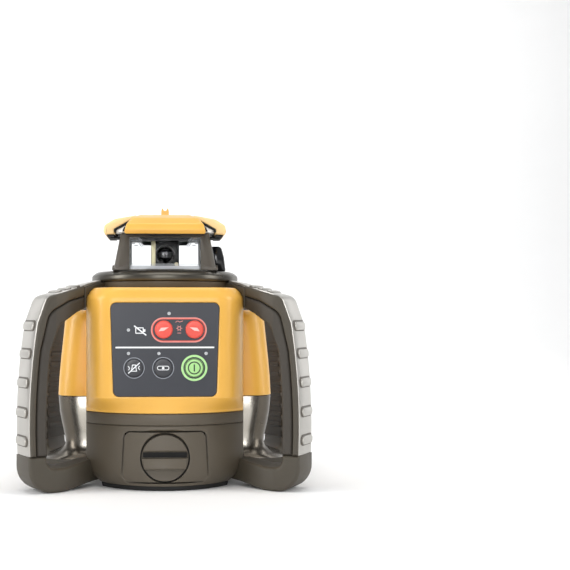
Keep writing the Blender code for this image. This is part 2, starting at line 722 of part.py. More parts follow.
def make_head():
    frame = piece("lighthouse_frame", tapered(HEAD_BOTTOM, HEAD_TOP, 0.0, HEAD_CORNER),
                  "dark_frame")
    cut(frame, "room", tapered(HEAD_BOTTOM - 2, HEAD_TOP + 2, 4.0, 4.0))
    windows = [(-PILLAR_INNER, PILLAR_INNER, -60, 60), (-60, 60, -PILLAR_INNER, PILLAR_INNER)]
    for index, (x0, x1, y0, y1) in enumerate(windows):
        cut(frame, f"window_{index}", box(x0, x1, y0, y1, WINDOW_LOW, WINDOW_HIGH))
    glass = piece("lighthouse_glass", tapered(HEAD_BOTTOM + 0.4, HEAD_TOP - 1, 4.3, 4.0),
                  "window_glass")
    cut(glass, "room", tapered(HEAD_BOTTOM - 2, HEAD_TOP + 2, 6.3, 3.0))
    cap_levels = ((HEAD_TOP + GAP, 44.6, 12.0), (229.0, 44.6, 12.0), (240.6, 25.4, 8.0),
                  (CAP_TOP, 24.8, 8.0))
    piece("head_cap", square_loft(cap_levels), "silver_skin")
    make_bumpers()
    sight = [(-3.6, CAP_TOP + GAP), (3.6, CAP_TOP + GAP), (3.6, 248.6), (2.4, SIGHT_TIP),
             (1.2, 249.4), (-1.2, 249.4), (-2.4, SIGHT_TIP), (-3.6, 248.6)]
    piece("peep_sight", upright(sight, -9.0, 9.0), "yellow_shell")
    receiver = rounded([(47.8, HEAD_BOTTOM, 0), (56.2, HEAD_BOTTOM, 0), (53.6, 216.0, 4.0),
                        (43.0, 216.0, 0)], 3)
    piece("receiver_window", upright(receiver, -13.0, 13.0), "dark_frame")


def make_bumpers():
    """Four bumpers of one shape round the cap; each is the front one, turned."""
    profile = [(-45.2, 225.6), (-54.2, 224.8), (-56.0, 227.2), (-55.4, 233.0), (-47.5, 239.8),
               (-27.0, CAP_TOP + 0.4), (-26.0, CAP_TOP + 0.2), (-26.0, 241.4), (-45.2, 229.6)]
    half_widths = [35.4, 35.4, 35.0, 34.0, 30.5, 23.8, 23.4, 23.4, 35.0]
    shape = spanned(profile, half_widths)
    for name, quarter in (("front", 0), ("right", 1), ("rear", 2), ("left", 3)):
        turn = Matrix.Rotation(quarter * math.pi / 2, 4, "Z")
        piece(f"bumper_{name}", moved(shape, turn), "yellow_shell")


# ================================ levelled module ================================
TUBE_RADIUS = 15.0
NECK_RADIUS = 11.0
RING_INNER = 21.0
RING_OUTER = 28.0
PIN_RADIUS = 2.5
ROTOR_HALF = 13.0
ROTOR_BOTTOM = 196.5
ROTOR_TOP = 222.0
LENS_Z = 209.5
LENS_RADIUS = 8.2


def rod(start, end, radius):
    """Round bar between two points."""
    line = Vector(end) - Vector(start)
    turn = line.to_track_quat("Z", "Y").to_matrix().to_4x4()
    shape = lathe([(0, 0), (radius, 0), (radius, line.length), (0, line.length)], 12)
    return moved(shape, Matrix.Translation(start) @ turn)


def make_gimbal():
    """Fixed frame with two lugs; in it the ring tilts about X, the module about Y."""
    frame = piece("gimbal_frame", lathe([(46.0, 167.0), (62.0, 167.0), (62.0, 172.0),
                                         (46.0, 172.0)]), "aluminium")
    for side in (-1, 1):
        lug = box(side * 46.5 if side < 0 else 38.5, -38.5 if side < 0 else 46.5,
                  -7, 7, PIVOT_Z - 7, 168)
        unite(frame, f"lug_{side + 1}", lug)
        bridge = box(-60 if side < 0 else 40, -40 if side < 0 else 60, -7, 7, 166.5, 171.5)
        unite(frame, f"bridge_{side + 1}", bridge)
    pin_hole = PIN_RADIUS + GAP
    cut(frame, "pin_holes", rod((-60, 0, PIVOT_Z), (60, 0, PIVOT_Z), pin_hole))

    pivot = (0.0, 0.0, PIVOT_Z)
    ring = piece("gimbal_ring", lathe([(RING_INNER, PIVOT_Z - 5), (RING_OUTER, PIVOT_Z - 5),
                                       (RING_OUTER, PIVOT_Z + 5), (RING_INNER, PIVOT_Z + 5)]),
                 "aluminium", pivot)
    for side in (-1, 1):
        pin = rod((side * (RING_OUTER - 2), 0, PIVOT_Z), (side * 44.0, 0, PIVOT_Z), PIN_RADIUS)
        unite(ring, f"pin_{side + 1}", pin)
    cut(ring, "pin_holes", rod((0, -40, PIVOT_Z), (0, 40, PIVOT_Z), pin_hole))
    return pivot


def make_module(pivot):
    tube_profile = [(0, 86.0), (TUBE_RADIUS, 86.0), (TUBE_RADIUS, 180.0), (TUBE_RADIUS + 5, 180.0),
                    (TUBE_RADIUS + 5, 183.5), (NECK_RADIUS, 183.5), (NECK_RADIUS, 195.8),
                    (0, 195.8)]
    tube = piece("laser_tube", lathe(tube_profile), "aluminium", pivot)
    unite(tube, "motor_arm", rod((0, MOTOR_Y, 180.2), (0, MOTOR_Y, 183.3), 12.0))
    cut(tube, "shaft_hole", rod((0, MOTOR_Y, 170), (0, MOTOR_Y, 190), 2.3))
    for side in (-1, 1):
        pin = rod((0, side * (TUBE_RADIUS - 2), PIVOT_Z), (0, side * 26.0, PIVOT_Z), PIN_RADIUS)
        unite(tube, f"pin_{side + 1}", pin)
    motor = [(0, 150.0), (9.0, 150.0), (10.5, 151.5), (10.5, 179.9), (0, 179.9)]
    piece("rotor_motor", lathe(motor, SMALL_ROUND, 0, MOTOR_Y), "steel", pivot)

    low, high = BELT_Z
    pulley = [(0, 180.2), (1.9, 180.2), (1.9, low - 0.8), (6.2, low - 0.8), (6.2, low), (5.0, low),
              (5.0, high), (6.2, high), (6.2, high + 0.8), (0, high + 0.8)]
    piece("motor_pulley", lathe(pulley, SMALL_ROUND, 0, MOTOR_Y), "brass", (0, MOTOR_Y, low))
    make_belt(low, high)
    hub = [(NECK_RADIUS + GAP, 184.5), (14.2, 184.5), (14.2, low - 1.0), (15.5, low - 1.0),
           (15.5, low), (14.2, low), (14.2, ROTOR_BOTTOM + 1), (NECK_RADIUS + GAP,
                                                                ROTOR_BOTTOM + 1)]
    rotor = piece("rotor", lathe(hub), "inner_plastic", (0, 0, LENS_Z))
    housing = square_loft(((ROTOR_BOTTOM, ROTOR_HALF, 2.0), (ROTOR_TOP, ROTOR_HALF, 2.0)))
    unite(rotor, "housing", housing)
    cut(rotor, "prism_room", box(-9.6, 9.6, -9.6, 9.6, ROTOR_BOTTOM + 2.5, ROTOR_TOP - 2))
    cut(rotor, "lens_hole", facing_front(
        lathe([(0, 5), (LENS_RADIUS + GAP, 5), (LENS_RADIUS + GAP, 20), (0, 20)], 24),
        0, 0, LENS_Z))
    lens = [(0, 9.9), (LENS_RADIUS, 9.9), (LENS_RADIUS, 12.6), (5.5, 13.4), (0, 13.4)]
    piece("rotor_lens", facing_front(lathe(lens, 24), 0, 0, LENS_Z), "lens_glass",
          (0, 0, LENS_Z))
    prism_side = [(-9.0, 200.0), (6.0, 200.0), (9.0, 207.0), (3.0, 218.5), (-9.0, 214.0)]
    prism_mesh = loft([[(x, y, z) for y, z in prism_side] for x in (-8.5, 8.5)])
    piece("penta_prism", prism_mesh, "window_glass", (0, 0, LENS_Z))


def make_belt(low, high):
    """Flat belt round the two pulleys, with straight runs between them."""
    bounds = []
    for small, large in ((5.3, 14.7), (6.1, 15.5)):
        lean = math.asin((large - small) / MOTOR_Y)
        points = []
        for centre, radius, first, last in ((MOTOR_Y, small, lean, math.pi - lean),
                                            (0.0, large, math.pi - lean, 2 * math.pi + lean)):
            for step in range(11):
                angle = first + (last - first) * step / 10
                points.append((radius * math.cos(angle), centre + radius * math.sin(angle)))
        bounds.append(points)
    inner, outer = bounds
    count = len(inner)
    verts = [(x, y, z) for line, z in ((inner, low + 0.5), (outer, low + 0.5),
                                       (outer, high - 0.5), (inner, high - 0.5))
             for x, y in line]
    faces = []
    for level in range(4):
        base = level * count
        above = (level + 1) % 4 * count
        for index in range(count):
            after = (index + 1) % count
            faces.append([base + index, base + after, above + after, above + index])
    piece("drive_belt", (verts, faces), "black_rubber", (0, 0, PIVOT_Z))


def make_level_motors():
    """Two small geared motors, which push the module level through screws."""
    floor = WAIST_BOTTOM + 3 + GAP
    for name, x, y in (("level_motor_x", -46.0, 12.0), ("level_motor_y", 30.0, 44.0)):
        motor = piece(name, box(x - 9, x + 9, y - 9, y + 9, floor, floor + 26), "steel")
        unite(motor, "screw", rod((x, y, floor + 25), (x, y, floor + 46), 2.0))


def main():
    clear_scene()
    make_lower_body()
    make_battery_holder()
    make_lock_knob()
    make_case()
    make_side_covers()
    make_panel()
    make_neck()
    make_handles()
    make_head()
    pivot = make_gimbal()
    make_module(pivot)
    make_level_motors()


main()
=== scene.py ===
"""Rotating laser level: the visual model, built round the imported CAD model.

The frame is the CAD's: +Z up, the front faces -Y, and the origin is on the
floor under the middle of the object. Sizes below are in millimetres, and
meshes are made in metres.
"""
import math

import bmesh
import bpy
from mathutils import Matrix, Vector


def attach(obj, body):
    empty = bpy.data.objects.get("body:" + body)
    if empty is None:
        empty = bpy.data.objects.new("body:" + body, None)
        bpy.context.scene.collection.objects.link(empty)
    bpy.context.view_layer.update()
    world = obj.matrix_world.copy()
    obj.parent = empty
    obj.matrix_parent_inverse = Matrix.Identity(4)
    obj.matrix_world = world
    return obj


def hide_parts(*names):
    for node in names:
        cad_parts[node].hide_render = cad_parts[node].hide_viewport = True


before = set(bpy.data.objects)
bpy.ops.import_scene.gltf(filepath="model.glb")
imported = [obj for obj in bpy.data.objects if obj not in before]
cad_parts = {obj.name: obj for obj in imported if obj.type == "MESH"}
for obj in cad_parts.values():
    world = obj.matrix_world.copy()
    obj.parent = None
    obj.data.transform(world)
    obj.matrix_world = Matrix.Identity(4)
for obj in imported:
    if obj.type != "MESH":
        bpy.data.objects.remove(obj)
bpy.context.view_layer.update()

MM = 0.001
SMOOTH_ANGLE = math.radians(34)
CORNERS = {"front_right": (1, 1), "front_left": (-1, 1),
           "rear_right": (1, -1), "rear_left": (-1, -1)}


# ================================ shape helpers =================================
def rounded(corners, steps=8):
    """Outline through (x, y, radius) corners, each one rounded by an arc."""
    points = []
    count = len(corners)
    for index, (x, y, radius) in enumerate(corners):
        corner = Vector((x, y))
        if radius == 0:
            points.append((x, y))
            continue
        to_last = (Vector(corners[index - 1][:2]) - corner).normalized()
        to_next = (Vector(corners[(index + 1) % count][:2]) - corner).normalized()
        half = to_last.angle(to_next) / 2
        centre = corner + (to_last + to_next).normalized() * (radius / math.sin(half))
        start = corner + to_last * (radius / math.tan(half)) - centre
        end = corner + to_next * (radius / math.tan(half)) - centre
        first = math.atan2(start.y, start.x)
        sweep = (math.atan2(end.y, end.x) - first + math.pi) % (2 * math.pi) - math.pi
        for step in range(steps + 1):
            angle = first + sweep * step / steps
            points.append((centre.x + radius * math.cos(angle),
                           centre.y + radius * math.sin(angle)))
    return points


def rectangle(x0, x1, z0, z1, radius, steps=6):
    return rounded([(x0, z0, radius), (x1, z0, radius), (x1, z1, radius), (x0, z1, radius)], steps)


def inset(outline, depth):
    """Outline moved inwards by a depth, or outwards by a negative one."""
    if depth == 0:
        return list(outline)
    count = len(outline)
    area = sum(outline[i - 1][0] * outline[i][1] - outline[i][0] * outline[i - 1][1]
               for i in range(count))
    turn = 1.0 if area > 0 else -1.0
    result = []
    for index in range(count):
        here = Vector(outline[index])
        before = (here - Vector(outline[index - 1])).normalized()
        after = (Vector(outline[(index + 1) % count]) - here).normalized()
        normal_a = Vector((-before.y, before.x)) * turn
        normal_b = Vector((-after.y, after.x)) * turn
        spread = max(0.4, 1.0 + normal_a.dot(normal_b))
        spot = here + (normal_a + normal_b) * (depth / spread)
        result.append((spot.x, spot.y))
    return result


def loft(rings, looped=False):
    """Surface through rings of points that all have the same count.

    It has a face at each end, unless its last ring joins its first."""
    count = len(rings[0])
    verts = [point for ring in rings for point in ring]
    faces = []
    if not looped:
        faces = [list(range(count)), list(range(len(verts) - count, len(verts)))]
    spans = len(rings) if looped else len(rings) - 1
    for level in range(spans):
        base = level * count
        above = (level + 1) % len(rings) * count
        for index in range(count):
            after = (index + 1) % count
            faces.append([base + index, base + after, above + after, above + index])
    return verts, faces


def box(x0, x1, y0, y1, z0, z1):
    plan = ((x0, y0), (x1, y0), (x1, y1), (x0, y1))
    return loft([[(x, y, z) for x, y in plan] for z in (z0, z1)])


def upright(outline, near, far):
    """Front-view (x, z) outline given depth from y = near to y = far."""
    return loft([[(x, y, z) for x, z in outline] for y in (near, far)])


def sideways(outline, left, right):
    """Side-view (y, z) outline given width from x = left to x = right."""
    return loft([[(x, y, z) for y, z in outline] for x in (left, right)])


def plate(outline, levels):
    """Front-view outline as a solid through (y, inset depth) levels."""
    return loft([[(x, y, z) for x, z in inset(outline, depth)] for y, depth in levels])


def band(outline, width, near, far):
    """Front-view frame of a width inside an outline."""
    inner = inset(outline, width)
    rings = [[(x, y, z) for x, z in ring]
             for ring, y in ((outline, near), (outline, far), (inner, far), (inner, near))]
    return loft(rings, looped=True)


def lathe(profile, segments=96, x=0.0):
    """Closed (radius, z) profile turned about a vertical axis.

    A profile that starts and ends on the axis makes a solid, any other a ring."""
    solid = profile[0][0] == 0 and profile[-1][0] == 0
    angles = [2 * math.pi * step / segments for step in range(segments)]
    rings = [[(x + radius * math.cos(a), radius * math.sin(a), z) for a in angles]
             for radius, z in (profile[1:-1] if solid else profile)]
    return loft(rings, looped=not solid)


def drum(radius, low, high, segments=96):
    return lathe([(0, low), (radius, low), (radius, high), (0, high)], segments)


def tube(inner, outer, low, high, segments=96):
    return lathe([(inner, low), (outer, low), (outer, high), (inner, high)], segments)


def moved(shape, matrix):
    verts, faces = shape
    return [tuple(matrix @ Vector(point)) for point in verts], faces


def mirrored(shape, across_x, across_y):
    verts, faces = shape
    return [(x * across_x, y * across_y, z) for x, y, z in verts], faces


def joined(*shapes):
    """Several shapes that stay apart, in one mesh."""
    verts = []
    faces = []
    for more_verts, more_faces in shapes:
        base = len(verts)
        verts.extend(more_verts)
        faces.extend([[index + base for index in face] for face in more_faces])
    return verts, faces


def facing_front(shape, x=0.0, z=0.0, y=0.0):
    """A shape turned about Z, laid down so that its +Z points to -Y, then placed."""
    return moved(shape, Matrix.Translation((x, y, z)) @ Matrix.Rotation(math.pi / 2, 4, "X"))


def disc(x, z, radius, near, far, edge, segments=48):
    """Round plate seen from the front, with a small chamfer on its front edge."""
    profile = [(0, -far), (radius, -far), (radius, -near - edge), (radius - edge, -near),
               (0, -near)]
    return facing_front(lathe(profile, segments), x, z)


def hoop(x, z, radius, width, near, far, segments=48):
    """Flat ring seen from the front."""
    return facing_front(tube(radius - width, radius, -far, -near, segments), x, z)


def stroke(points, width, near, far):
    """Printed line through points of the front view."""
    parts = []
    for (x0, z0), (x1, z1) in zip(points, points[1:]):
        along = Vector((x1 - x0, z1 - z0)).normalized()
        side = Vector((-along.y, along.x)) * (width / 2)
        parts.append(upright([(x0 - side.x, z0 - side.y), (x1 - side.x, z1 - side.y),
                              (x1 + side.x, z1 + side.y), (x0 + side.x, z0 + side.y)],
                             near, far))
    return joined(*parts)


# ================================= mesh making ==================================
CUT = "DIFFERENCE"
JOIN = "UNION"
TRIM = "INTERSECT"
BEVEL_ANGLE = math.radians(38)


def raw_object(name, shape):
    verts, faces = shape
    mesh = bpy.data.meshes.new(name)
    mesh.from_pydata([Vector(point) * MM for point in verts], [], faces)
    work = bmesh.new()
    work.from_mesh(mesh)
    bmesh.ops.remove_doubles(work, verts=work.verts, dist=0.002 * MM)
    bmesh.ops.recalc_face_normals(work, faces=work.faces)
    work.to_mesh(mesh)
    work.free()
    thing = bpy.data.objects.new(name, mesh)
    bpy.context.collection.objects.link(thing)
    return thing


def settle(thing):
    """Makes the modifiers' result the object's own mesh."""
    bpy.context.view_layer.update()
    result = thing.evaluated_get(bpy.context.evaluated_depsgraph_get())
    mesh = bpy.data.meshes.new_from_object(result)
    thing.modifiers.clear()
    thing.data = mesh


def combine(thing, steps):
    """Cuts, joins or trims an object by (operation, shape) steps, in order."""
    for operation, shape in steps:
        tool = raw_object("tool", shape)
        modifier = thing.modifiers.new(operation, "BOOLEAN")
        modifier.operation = operation
        modifier.solver = "EXACT"
        modifier.object = tool
        settle(thing)
        bpy.data.objects.remove(tool, do_unlink=True)


def add(name, shape, material, body="body", replaces=(), steps=(), bevel=0.0):
    """One visible piece, which rides on a body and stands for CAD nodes."""
    thing = raw_object(name, shape)
    combine(thing, steps)
    if bevel:
        modifier = thing.modifiers.new("edges", "BEVEL")
        modifier.width = bevel * MM
        modifier.segments = 2
        modifier.limit_method = "ANGLE"
        modifier.angle_limit = BEVEL_ANGLE
        settle(thing)
    thing.data.materials.clear()
    thing.data.materials.append(MATERIALS[material])
    thing.data.shade_smooth()
    thing.data.set_sharp_from_angle(angle=SMOOTH_ANGLE)
    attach(thing, body)
    if replaces:
        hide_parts(*replaces)


# =================================== materials ==================================
def linear(channel):
    """A display colour channel, 0 to 255, as the linear value a shader takes."""
    value = channel / 255
    return value / 12.92 if value <= 0.04045 else ((value + 0.055) / 1.055) ** 2.4


def colour(rgb, gain=1.0):
    return tuple(min(1.0, linear(channel) * gain) for channel in rgb) + (1.0,)


MATERIALS = {}


class Surface:
    """A procedural material under construction."""

    def __init__(self, name):
        self.material = bpy.data.materials.new(f"finish_{name}")
        MATERIALS[name] = self.material
        self.material.use_nodes = True
        self.tree = self.material.node_tree
        self.shader = self.tree.nodes["Principled BSDF"]
        coordinates = self.node("ShaderNodeTexCoord")
        self.place = coordinates.outputs["Object"]

    def node(self, kind, **values):
        made = self.tree.nodes.new(kind)
        for key, value in values.items():
            setattr(made, key, value)
        return made

    def link(self, start, end):
        self.tree.links.new(start, end)

    def noise(self, scale, detail=3.0, stretch=(1.0, 1.0, 1.0)):
        """Noise with a scale in features per metre."""
        mapping = self.node("ShaderNodeMapping")
        mapping.inputs["Scale"].default_value = stretch
        self.link(self.place, mapping.inputs["Vector"])
        texture = self.node("ShaderNodeTexNoise")
        texture.inputs["Scale"].default_value = scale
        texture.inputs["Detail"].default_value = detail
        self.link(mapping.outputs["Vector"], texture.inputs["Vector"])
        return texture.outputs["Fac"]

    def ranged(self, value, low, high, to_low, to_high):
        made = self.node("ShaderNodeMapRange")
        for name, number in (("From Min", low), ("From Max", high),
                             ("To Min", to_low), ("To Max", to_high)):
            made.inputs[name].default_value = number
        self.link(value, made.inputs["Value"])
        return made.outputs["Result"]

    def mixed(self, share, first, second):
        """Colour mix; each colour is a socket or an RGBA value."""
        made = self.node("ShaderNodeMix", data_type="RGBA")
        self.link(share, made.inputs["Factor"])
        for name, value in (("A", first), ("B", second)):
            socket = [s for s in made.inputs if s.name == name and s.type == "RGBA"][0]
            if isinstance(value, tuple):
                socket.default_value = value
            else:
                self.link(value, socket)
        return [s for s in made.outputs if s.type == "RGBA"][0]

    def multiplied(self, first, second):
        made = self.node("ShaderNodeMath", operation="MULTIPLY")
        self.link(first, made.inputs[0])
        self.link(second, made.inputs[1])
        return made.outputs["Value"]

    def edges(self, reach):
        """1 along sharp edges and 0 elsewhere."""
        softened = self.node("ShaderNodeBevel", samples=4)
        softened.inputs["Radius"].default_value = reach * MM
        geometry = self.node("ShaderNodeNewGeometry")
        product = self.node("ShaderNodeVectorMath", operation="DOT_PRODUCT")
        self.link(softened.outputs["Normal"], product.inputs[0])
        self.link(geometry.outputs["Normal"], product.inputs[1])
        return self.ranged(product.outputs["Value"], 0.82, 0.99, 1.0, 0.0)

    def facing(self, low, high):
        """1 on faces that look forwards or backwards, 0 on those turned away."""
        geometry = self.node("ShaderNodeNewGeometry")
        parts = self.node("ShaderNodeSeparateXYZ")
        self.link(geometry.outputs["Normal"], parts.inputs["Vector"])
        return self.ranged(self.multiplied(parts.outputs["Y"], parts.outputs["Y"]),
                           low, high, 0.0, 1.0)

    def bump(self, height, depth):
        """Relief of a depth in millimetres."""
        made = self.node("ShaderNodeBump")
        made.inputs["Strength"].default_value = 0.6
        made.inputs["Distance"].default_value = depth * MM
        self.link(height, made.inputs["Height"])
        self.link(made.outputs["Normal"], self.shader.inputs["Normal"])


def surface(name, rgb, roughness, metallic=0.0, tone=0.06, grain=1500.0, depth=0.03,
            stretch=(1.0, 1.0, 1.0), wear=None, wear_share=0.35, coat=0.0, painted_reflection=None,
            smudge=0.05):
    """Moulded, painted or machined finish, with blotches, grain and worn edges, and, if a colour
    is given for it, a painted reflection on faces that look forwards or backwards.
    """
    made = Surface(name)
    blotches = made.ranged(made.noise(22.0), 0.3, 0.7, 0.0, 1.0)
    base = made.mixed(blotches, colour(rgb, 1.0 - tone), colour(rgb, 1.0 + tone))
    fine = made.noise(grain, 2.0, stretch)
    base = made.mixed(made.ranged(fine, 0.35, 0.65, 0.0, 0.35), base, colour(rgb, 1.0 - 2 * tone))
    # Painted reflection: faces that look along Y take a lighter colour, standing in for the lights
    # in front being reflected.
    if painted_reflection:
        base = made.mixed(made.facing(0.8, 1.0), base, colour(painted_reflection))
    if wear:
        scuffs = made.ranged(made.noise(160.0, 5.0), 0.42, 0.62, 0.15 * wear_share, wear_share)
        base = made.mixed(made.multiplied(made.edges(0.9), scuffs), base, colour(wear))
    made.link(base, made.shader.inputs["Base Color"])
    patches = made.noise(60.0, 4.0)
    made.link(made.ranged(patches, 0.2, 0.8, roughness - smudge, roughness + smudge),
              made.shader.inputs["Roughness"])
    made.shader.inputs["Metallic"].default_value = metallic
    made.shader.inputs["Coat Weight"].default_value = coat
    made.shader.inputs["Coat Roughness"].default_value = 0.12
    made.bump(fine, depth)
    return made


def clear_surface(name, rgb, roughness, transmission, ior):
    """See-through moulding or glass, with faint smears in its polish."""
    made = surface(name, rgb, roughness, tone=0.01, grain=900.0, depth=0.0005)
    made.shader.inputs["Transmission Weight"].default_value = transmission
    made.shader.inputs["IOR"].default_value = ior
    smears = made.ranged(made.noise(35.0, 4.0), 0.4, 0.8, roughness, roughness + 0.03)
    made.link(smears, made.shader.inputs["Roughness"])


BRUSHED = (1.0, 1.0, 0.04)

surface("yellow_shell", (234, 178, 76), 0.36, tone=0.03, grain=2600.0, depth=0.02,
        wear=(252, 222, 150), wear_share=0.5, coat=0.06)
surface("pale_yellow", (244, 208, 146), 0.4, tone=0.03, grain=2600.0,
        depth=0.02, wear=(255, 238, 196), wear_share=0.5, coat=0.08)
surface("brown_shell", (86, 78, 65), 0.5, tone=0.04, grain=2300.0, depth=0.035,
        wear=(140, 131, 118), wear_share=0.45)
surface("brown_core", (68, 62, 51), 0.54, tone=0.05, grain=2000.0, depth=0.045,
        wear=(128, 119, 106), wear_share=0.45)
surface("grip_rubber", (60, 55, 48), 0.64, depth=0.07, wear=(96, 89, 80),
        wear_share=0.4)
surface("silver_skin", (180, 177, 171), 0.33, metallic=0.8, tone=0.04, grain=2400.0,
        depth=0.02, wear=(226, 223, 218), wear_share=0.5)
# Dark at the sides and lighter on faces that look forwards: a painted reflection.
surface("silver_cover", (92, 86, 77), 0.25, metallic=0.88, tone=0.04,
        grain=2400.0, depth=0.01, wear=(214, 210, 204), wear_share=0.3, painted_reflection=(196, 191, 181))
surface("silver_ring", (88, 85, 78), 0.3, metallic=0.88, tone=0.03,
        grain=2400.0, depth=0.006, wear=(226, 223, 218), wear_share=0.4)
surface("cap_silver", (206, 202, 194), 0.36, metallic=0.35, tone=0.04,
        grain=2200.0, depth=0.02, wear=(240, 238, 232), wear_share=0.4)
surface("dark_frame", (80, 74, 65), 0.42, tone=0.05, grain=2100.0, wear=(120, 112, 101),
        wear_share=0.4)
surface("gloss_black", (16, 16, 18), 0.14, tone=0.1, grain=900.0, depth=0.004,
        coat=0.5, wear=(52, 52, 56), wear_share=0.3)
surface("rotor_black", (24, 24, 25), 0.38, metallic=0.3, tone=0.1, grain=1900.0,
        depth=0.02, wear=(96, 94, 90), wear_share=0.5)
surface("black_rubber", (26, 25, 24), 0.78, tone=0.12, grain=1300.0, depth=0.09,
        wear=(60, 58, 55), wear_share=0.4)
surface("panel_film", (36, 39, 48), 0.3, tone=0.03, grain=2800.0, depth=0.008,
        wear=(96, 102, 116), wear_share=0.3, coat=0.05, smudge=0.02)
surface("red_key", (226, 74, 58), 0.36, tone=0.05, grain=2200.0, depth=0.015,
        wear=(246, 138, 122), wear_share=0.7, coat=0.2)
surface("black_key", (34, 36, 43), 0.3, tone=0.07, grain=2400.0, depth=0.015,
        wear=(90, 92, 100), wear_share=0.5, coat=0.2)
surface("green_key", (164, 216, 136), 0.38, tone=0.04, grain=2400.0, depth=0.015,
        wear=(196, 240, 170), wear_share=0.5, coat=0.1)
for name, slot, rgb, tone in (("print_white", "panel_film", (236, 238, 240), 0.02),
                              ("print_grey", "panel_film", (150, 154, 162), 0.03),
                              ("print_red", "red_key", (220, 142, 134), 0.03),
                              ("print_pink", "red_key", (250, 196, 188), 0.03),
                              ("print_green", "green_key", (176, 226, 150), 0.03),
                              ("print_dark", "green_key", (30, 40, 34), 0.04)):
    surface(name, rgb, 0.5, tone=tone, grain=3000.0, depth=0.01)
surface("aluminium", (196, 198, 200), 0.3, metallic=1.0, tone=0.04, grain=1300.0, depth=0.012,
        stretch=BRUSHED, wear=(235, 236, 238), wear_share=0.4)
surface("brass", (196, 166, 104), 0.3, metallic=1.0, depth=0.012, wear=(232, 210, 158),
        wear_share=0.5)
surface("pale_brass", (188, 180, 146), 0.34, metallic=0.5, tone=0.05, depth=0.012,
        wear=(214, 208, 184), wear_share=0.5)
surface("steel_dark", (92, 90, 88), 0.26, metallic=0.9, tone=0.05, depth=0.01,
        wear=(190, 190, 192), wear_share=0.5)
surface("lens_black", (10, 11, 16), 0.05, tone=0.1, grain=600.0, depth=0.001,
        coat=0.9)
surface("liner_white", (252, 251, 246), 0.6, tone=0.02, grain=2000.0,
        depth=0.01)
surface("steel", (160, 162, 166), 0.28, metallic=1.0, tone=0.05, depth=0.015, stretch=BRUSHED,
        wear=(214, 216, 220), wear_share=0.4)
surface("circuit_board", (30, 92, 58), 0.42, tone=0.14, grain=900.0, wear=(92, 140, 104),
        wear_share=0.4)
surface("cell_jacket", (62, 67, 78), 0.3, metallic=0.35, tone=0.08, grain=1200.0, depth=0.012,
        wear=(150, 154, 162), wear_share=0.5, coat=0.25)
surface("inner_plastic", (46, 46, 48), 0.58, tone=0.08, grain=1800.0, depth=0.05,
        wear=(80, 80, 83), wear_share=0.4)
clear_surface("clear_plastic", (238, 241, 244), 0.12, 0.5, 1.49)
clear_surface("window_glass", (252, 253, 254), 0.0, 1.0, 1.08)
clear_surface("lens_glass", (20, 24, 36), 0.0, 0.25, 1.6)


# ===================================== body =====================================
BODY_RADIUS = 86.0
BODY_HALF = 70.0
BODY_EDGE = math.sqrt(BODY_RADIUS ** 2 - BODY_HALF ** 2)
PAD_FACE = 86.6                # distance of the flat round the panel from the X axis
PAD_HALF = 44.0
COLUMN_SPLIT = 79.0


def front_edge(grow, pad):
    """Front or back edge in plan as (x, distance); pad 1 is flat, 0 is one arc."""
    side = BODY_HALF + grow
    radius = BODY_RADIUS + grow
    places = [PAD_HALF * step / 8 for step in range(8)]
    places += [PAD_HALF + (side - PAD_HALF) * math.sin(math.pi / 2 * step / 14)
               for step in range(15)]
    half = []
    for x in places:
        arc = math.sqrt(radius * radius - x * x)
        bend = max(0.0, x - PAD_HALF) / (side - PAD_HALF)
        flat = BODY_EDGE + grow + (PAD_FACE - BODY_EDGE) * math.sqrt(max(0.0, 1 - bend * bend))
        half.append((x, arc + (flat - arc) * pad))
    return [(-x, reach) for x, reach in reversed(half[1:])] + half


def barrel(grow, wide, deep, pad=0.0):
    """Plan outline of the body: two curved edges between flat sides."""
    front = [(x * wide, -reach * deep) for x, reach in front_edge(grow, pad)]
    back = [(x * wide, reach * deep) for x, reach in reversed(front_edge(grow, 0.0))]
    return front + back


def barrel_loft(sections, grow=0.0):
    """Body solid from (z, width factor, depth factor, pad share) sections.

    A section may leave out its pad share, which is then 0."""
    return loft([[(x, y, z) for x, y in barrel(grow, *factors)] for z, *factors in sections])


def column(side, levels, corner=19.0):
    """Side column from (z, outer reach, half depth) levels; side is -1 or +1."""
    inner = BODY_HALF - 1.5 if levels[0][0] > COLUMN_SPLIT else BODY_HALF + 0.3
    rings = []
    for z, outer, half in levels:
        near = min(corner, half * 0.85, (outer - inner) * 0.85)
        plan = rounded([(inner, -half, 0), (outer, -half, near),
                        (outer, half, near), (inner, half, 0)], 10)
        rings.append([(side * x, y, z) for x, y in plan])
    return loft(rings)


def eased(share):
    """Smooth step that is nearly straight in its middle."""
    return 0.35 * share * share * (3 - 2 * share) + 0.65 * share


def panel_outline(grow=0.0):
    """Front view of the panel, a little wider at its top, as (x, z)."""
    return inset(rounded([(-44.45, 82.1, 5.0), (44.45, 82.1, 5.0),
                          (47.1, 163.1, 5.0), (-47.1, 163.1, 5.0)]), -grow)


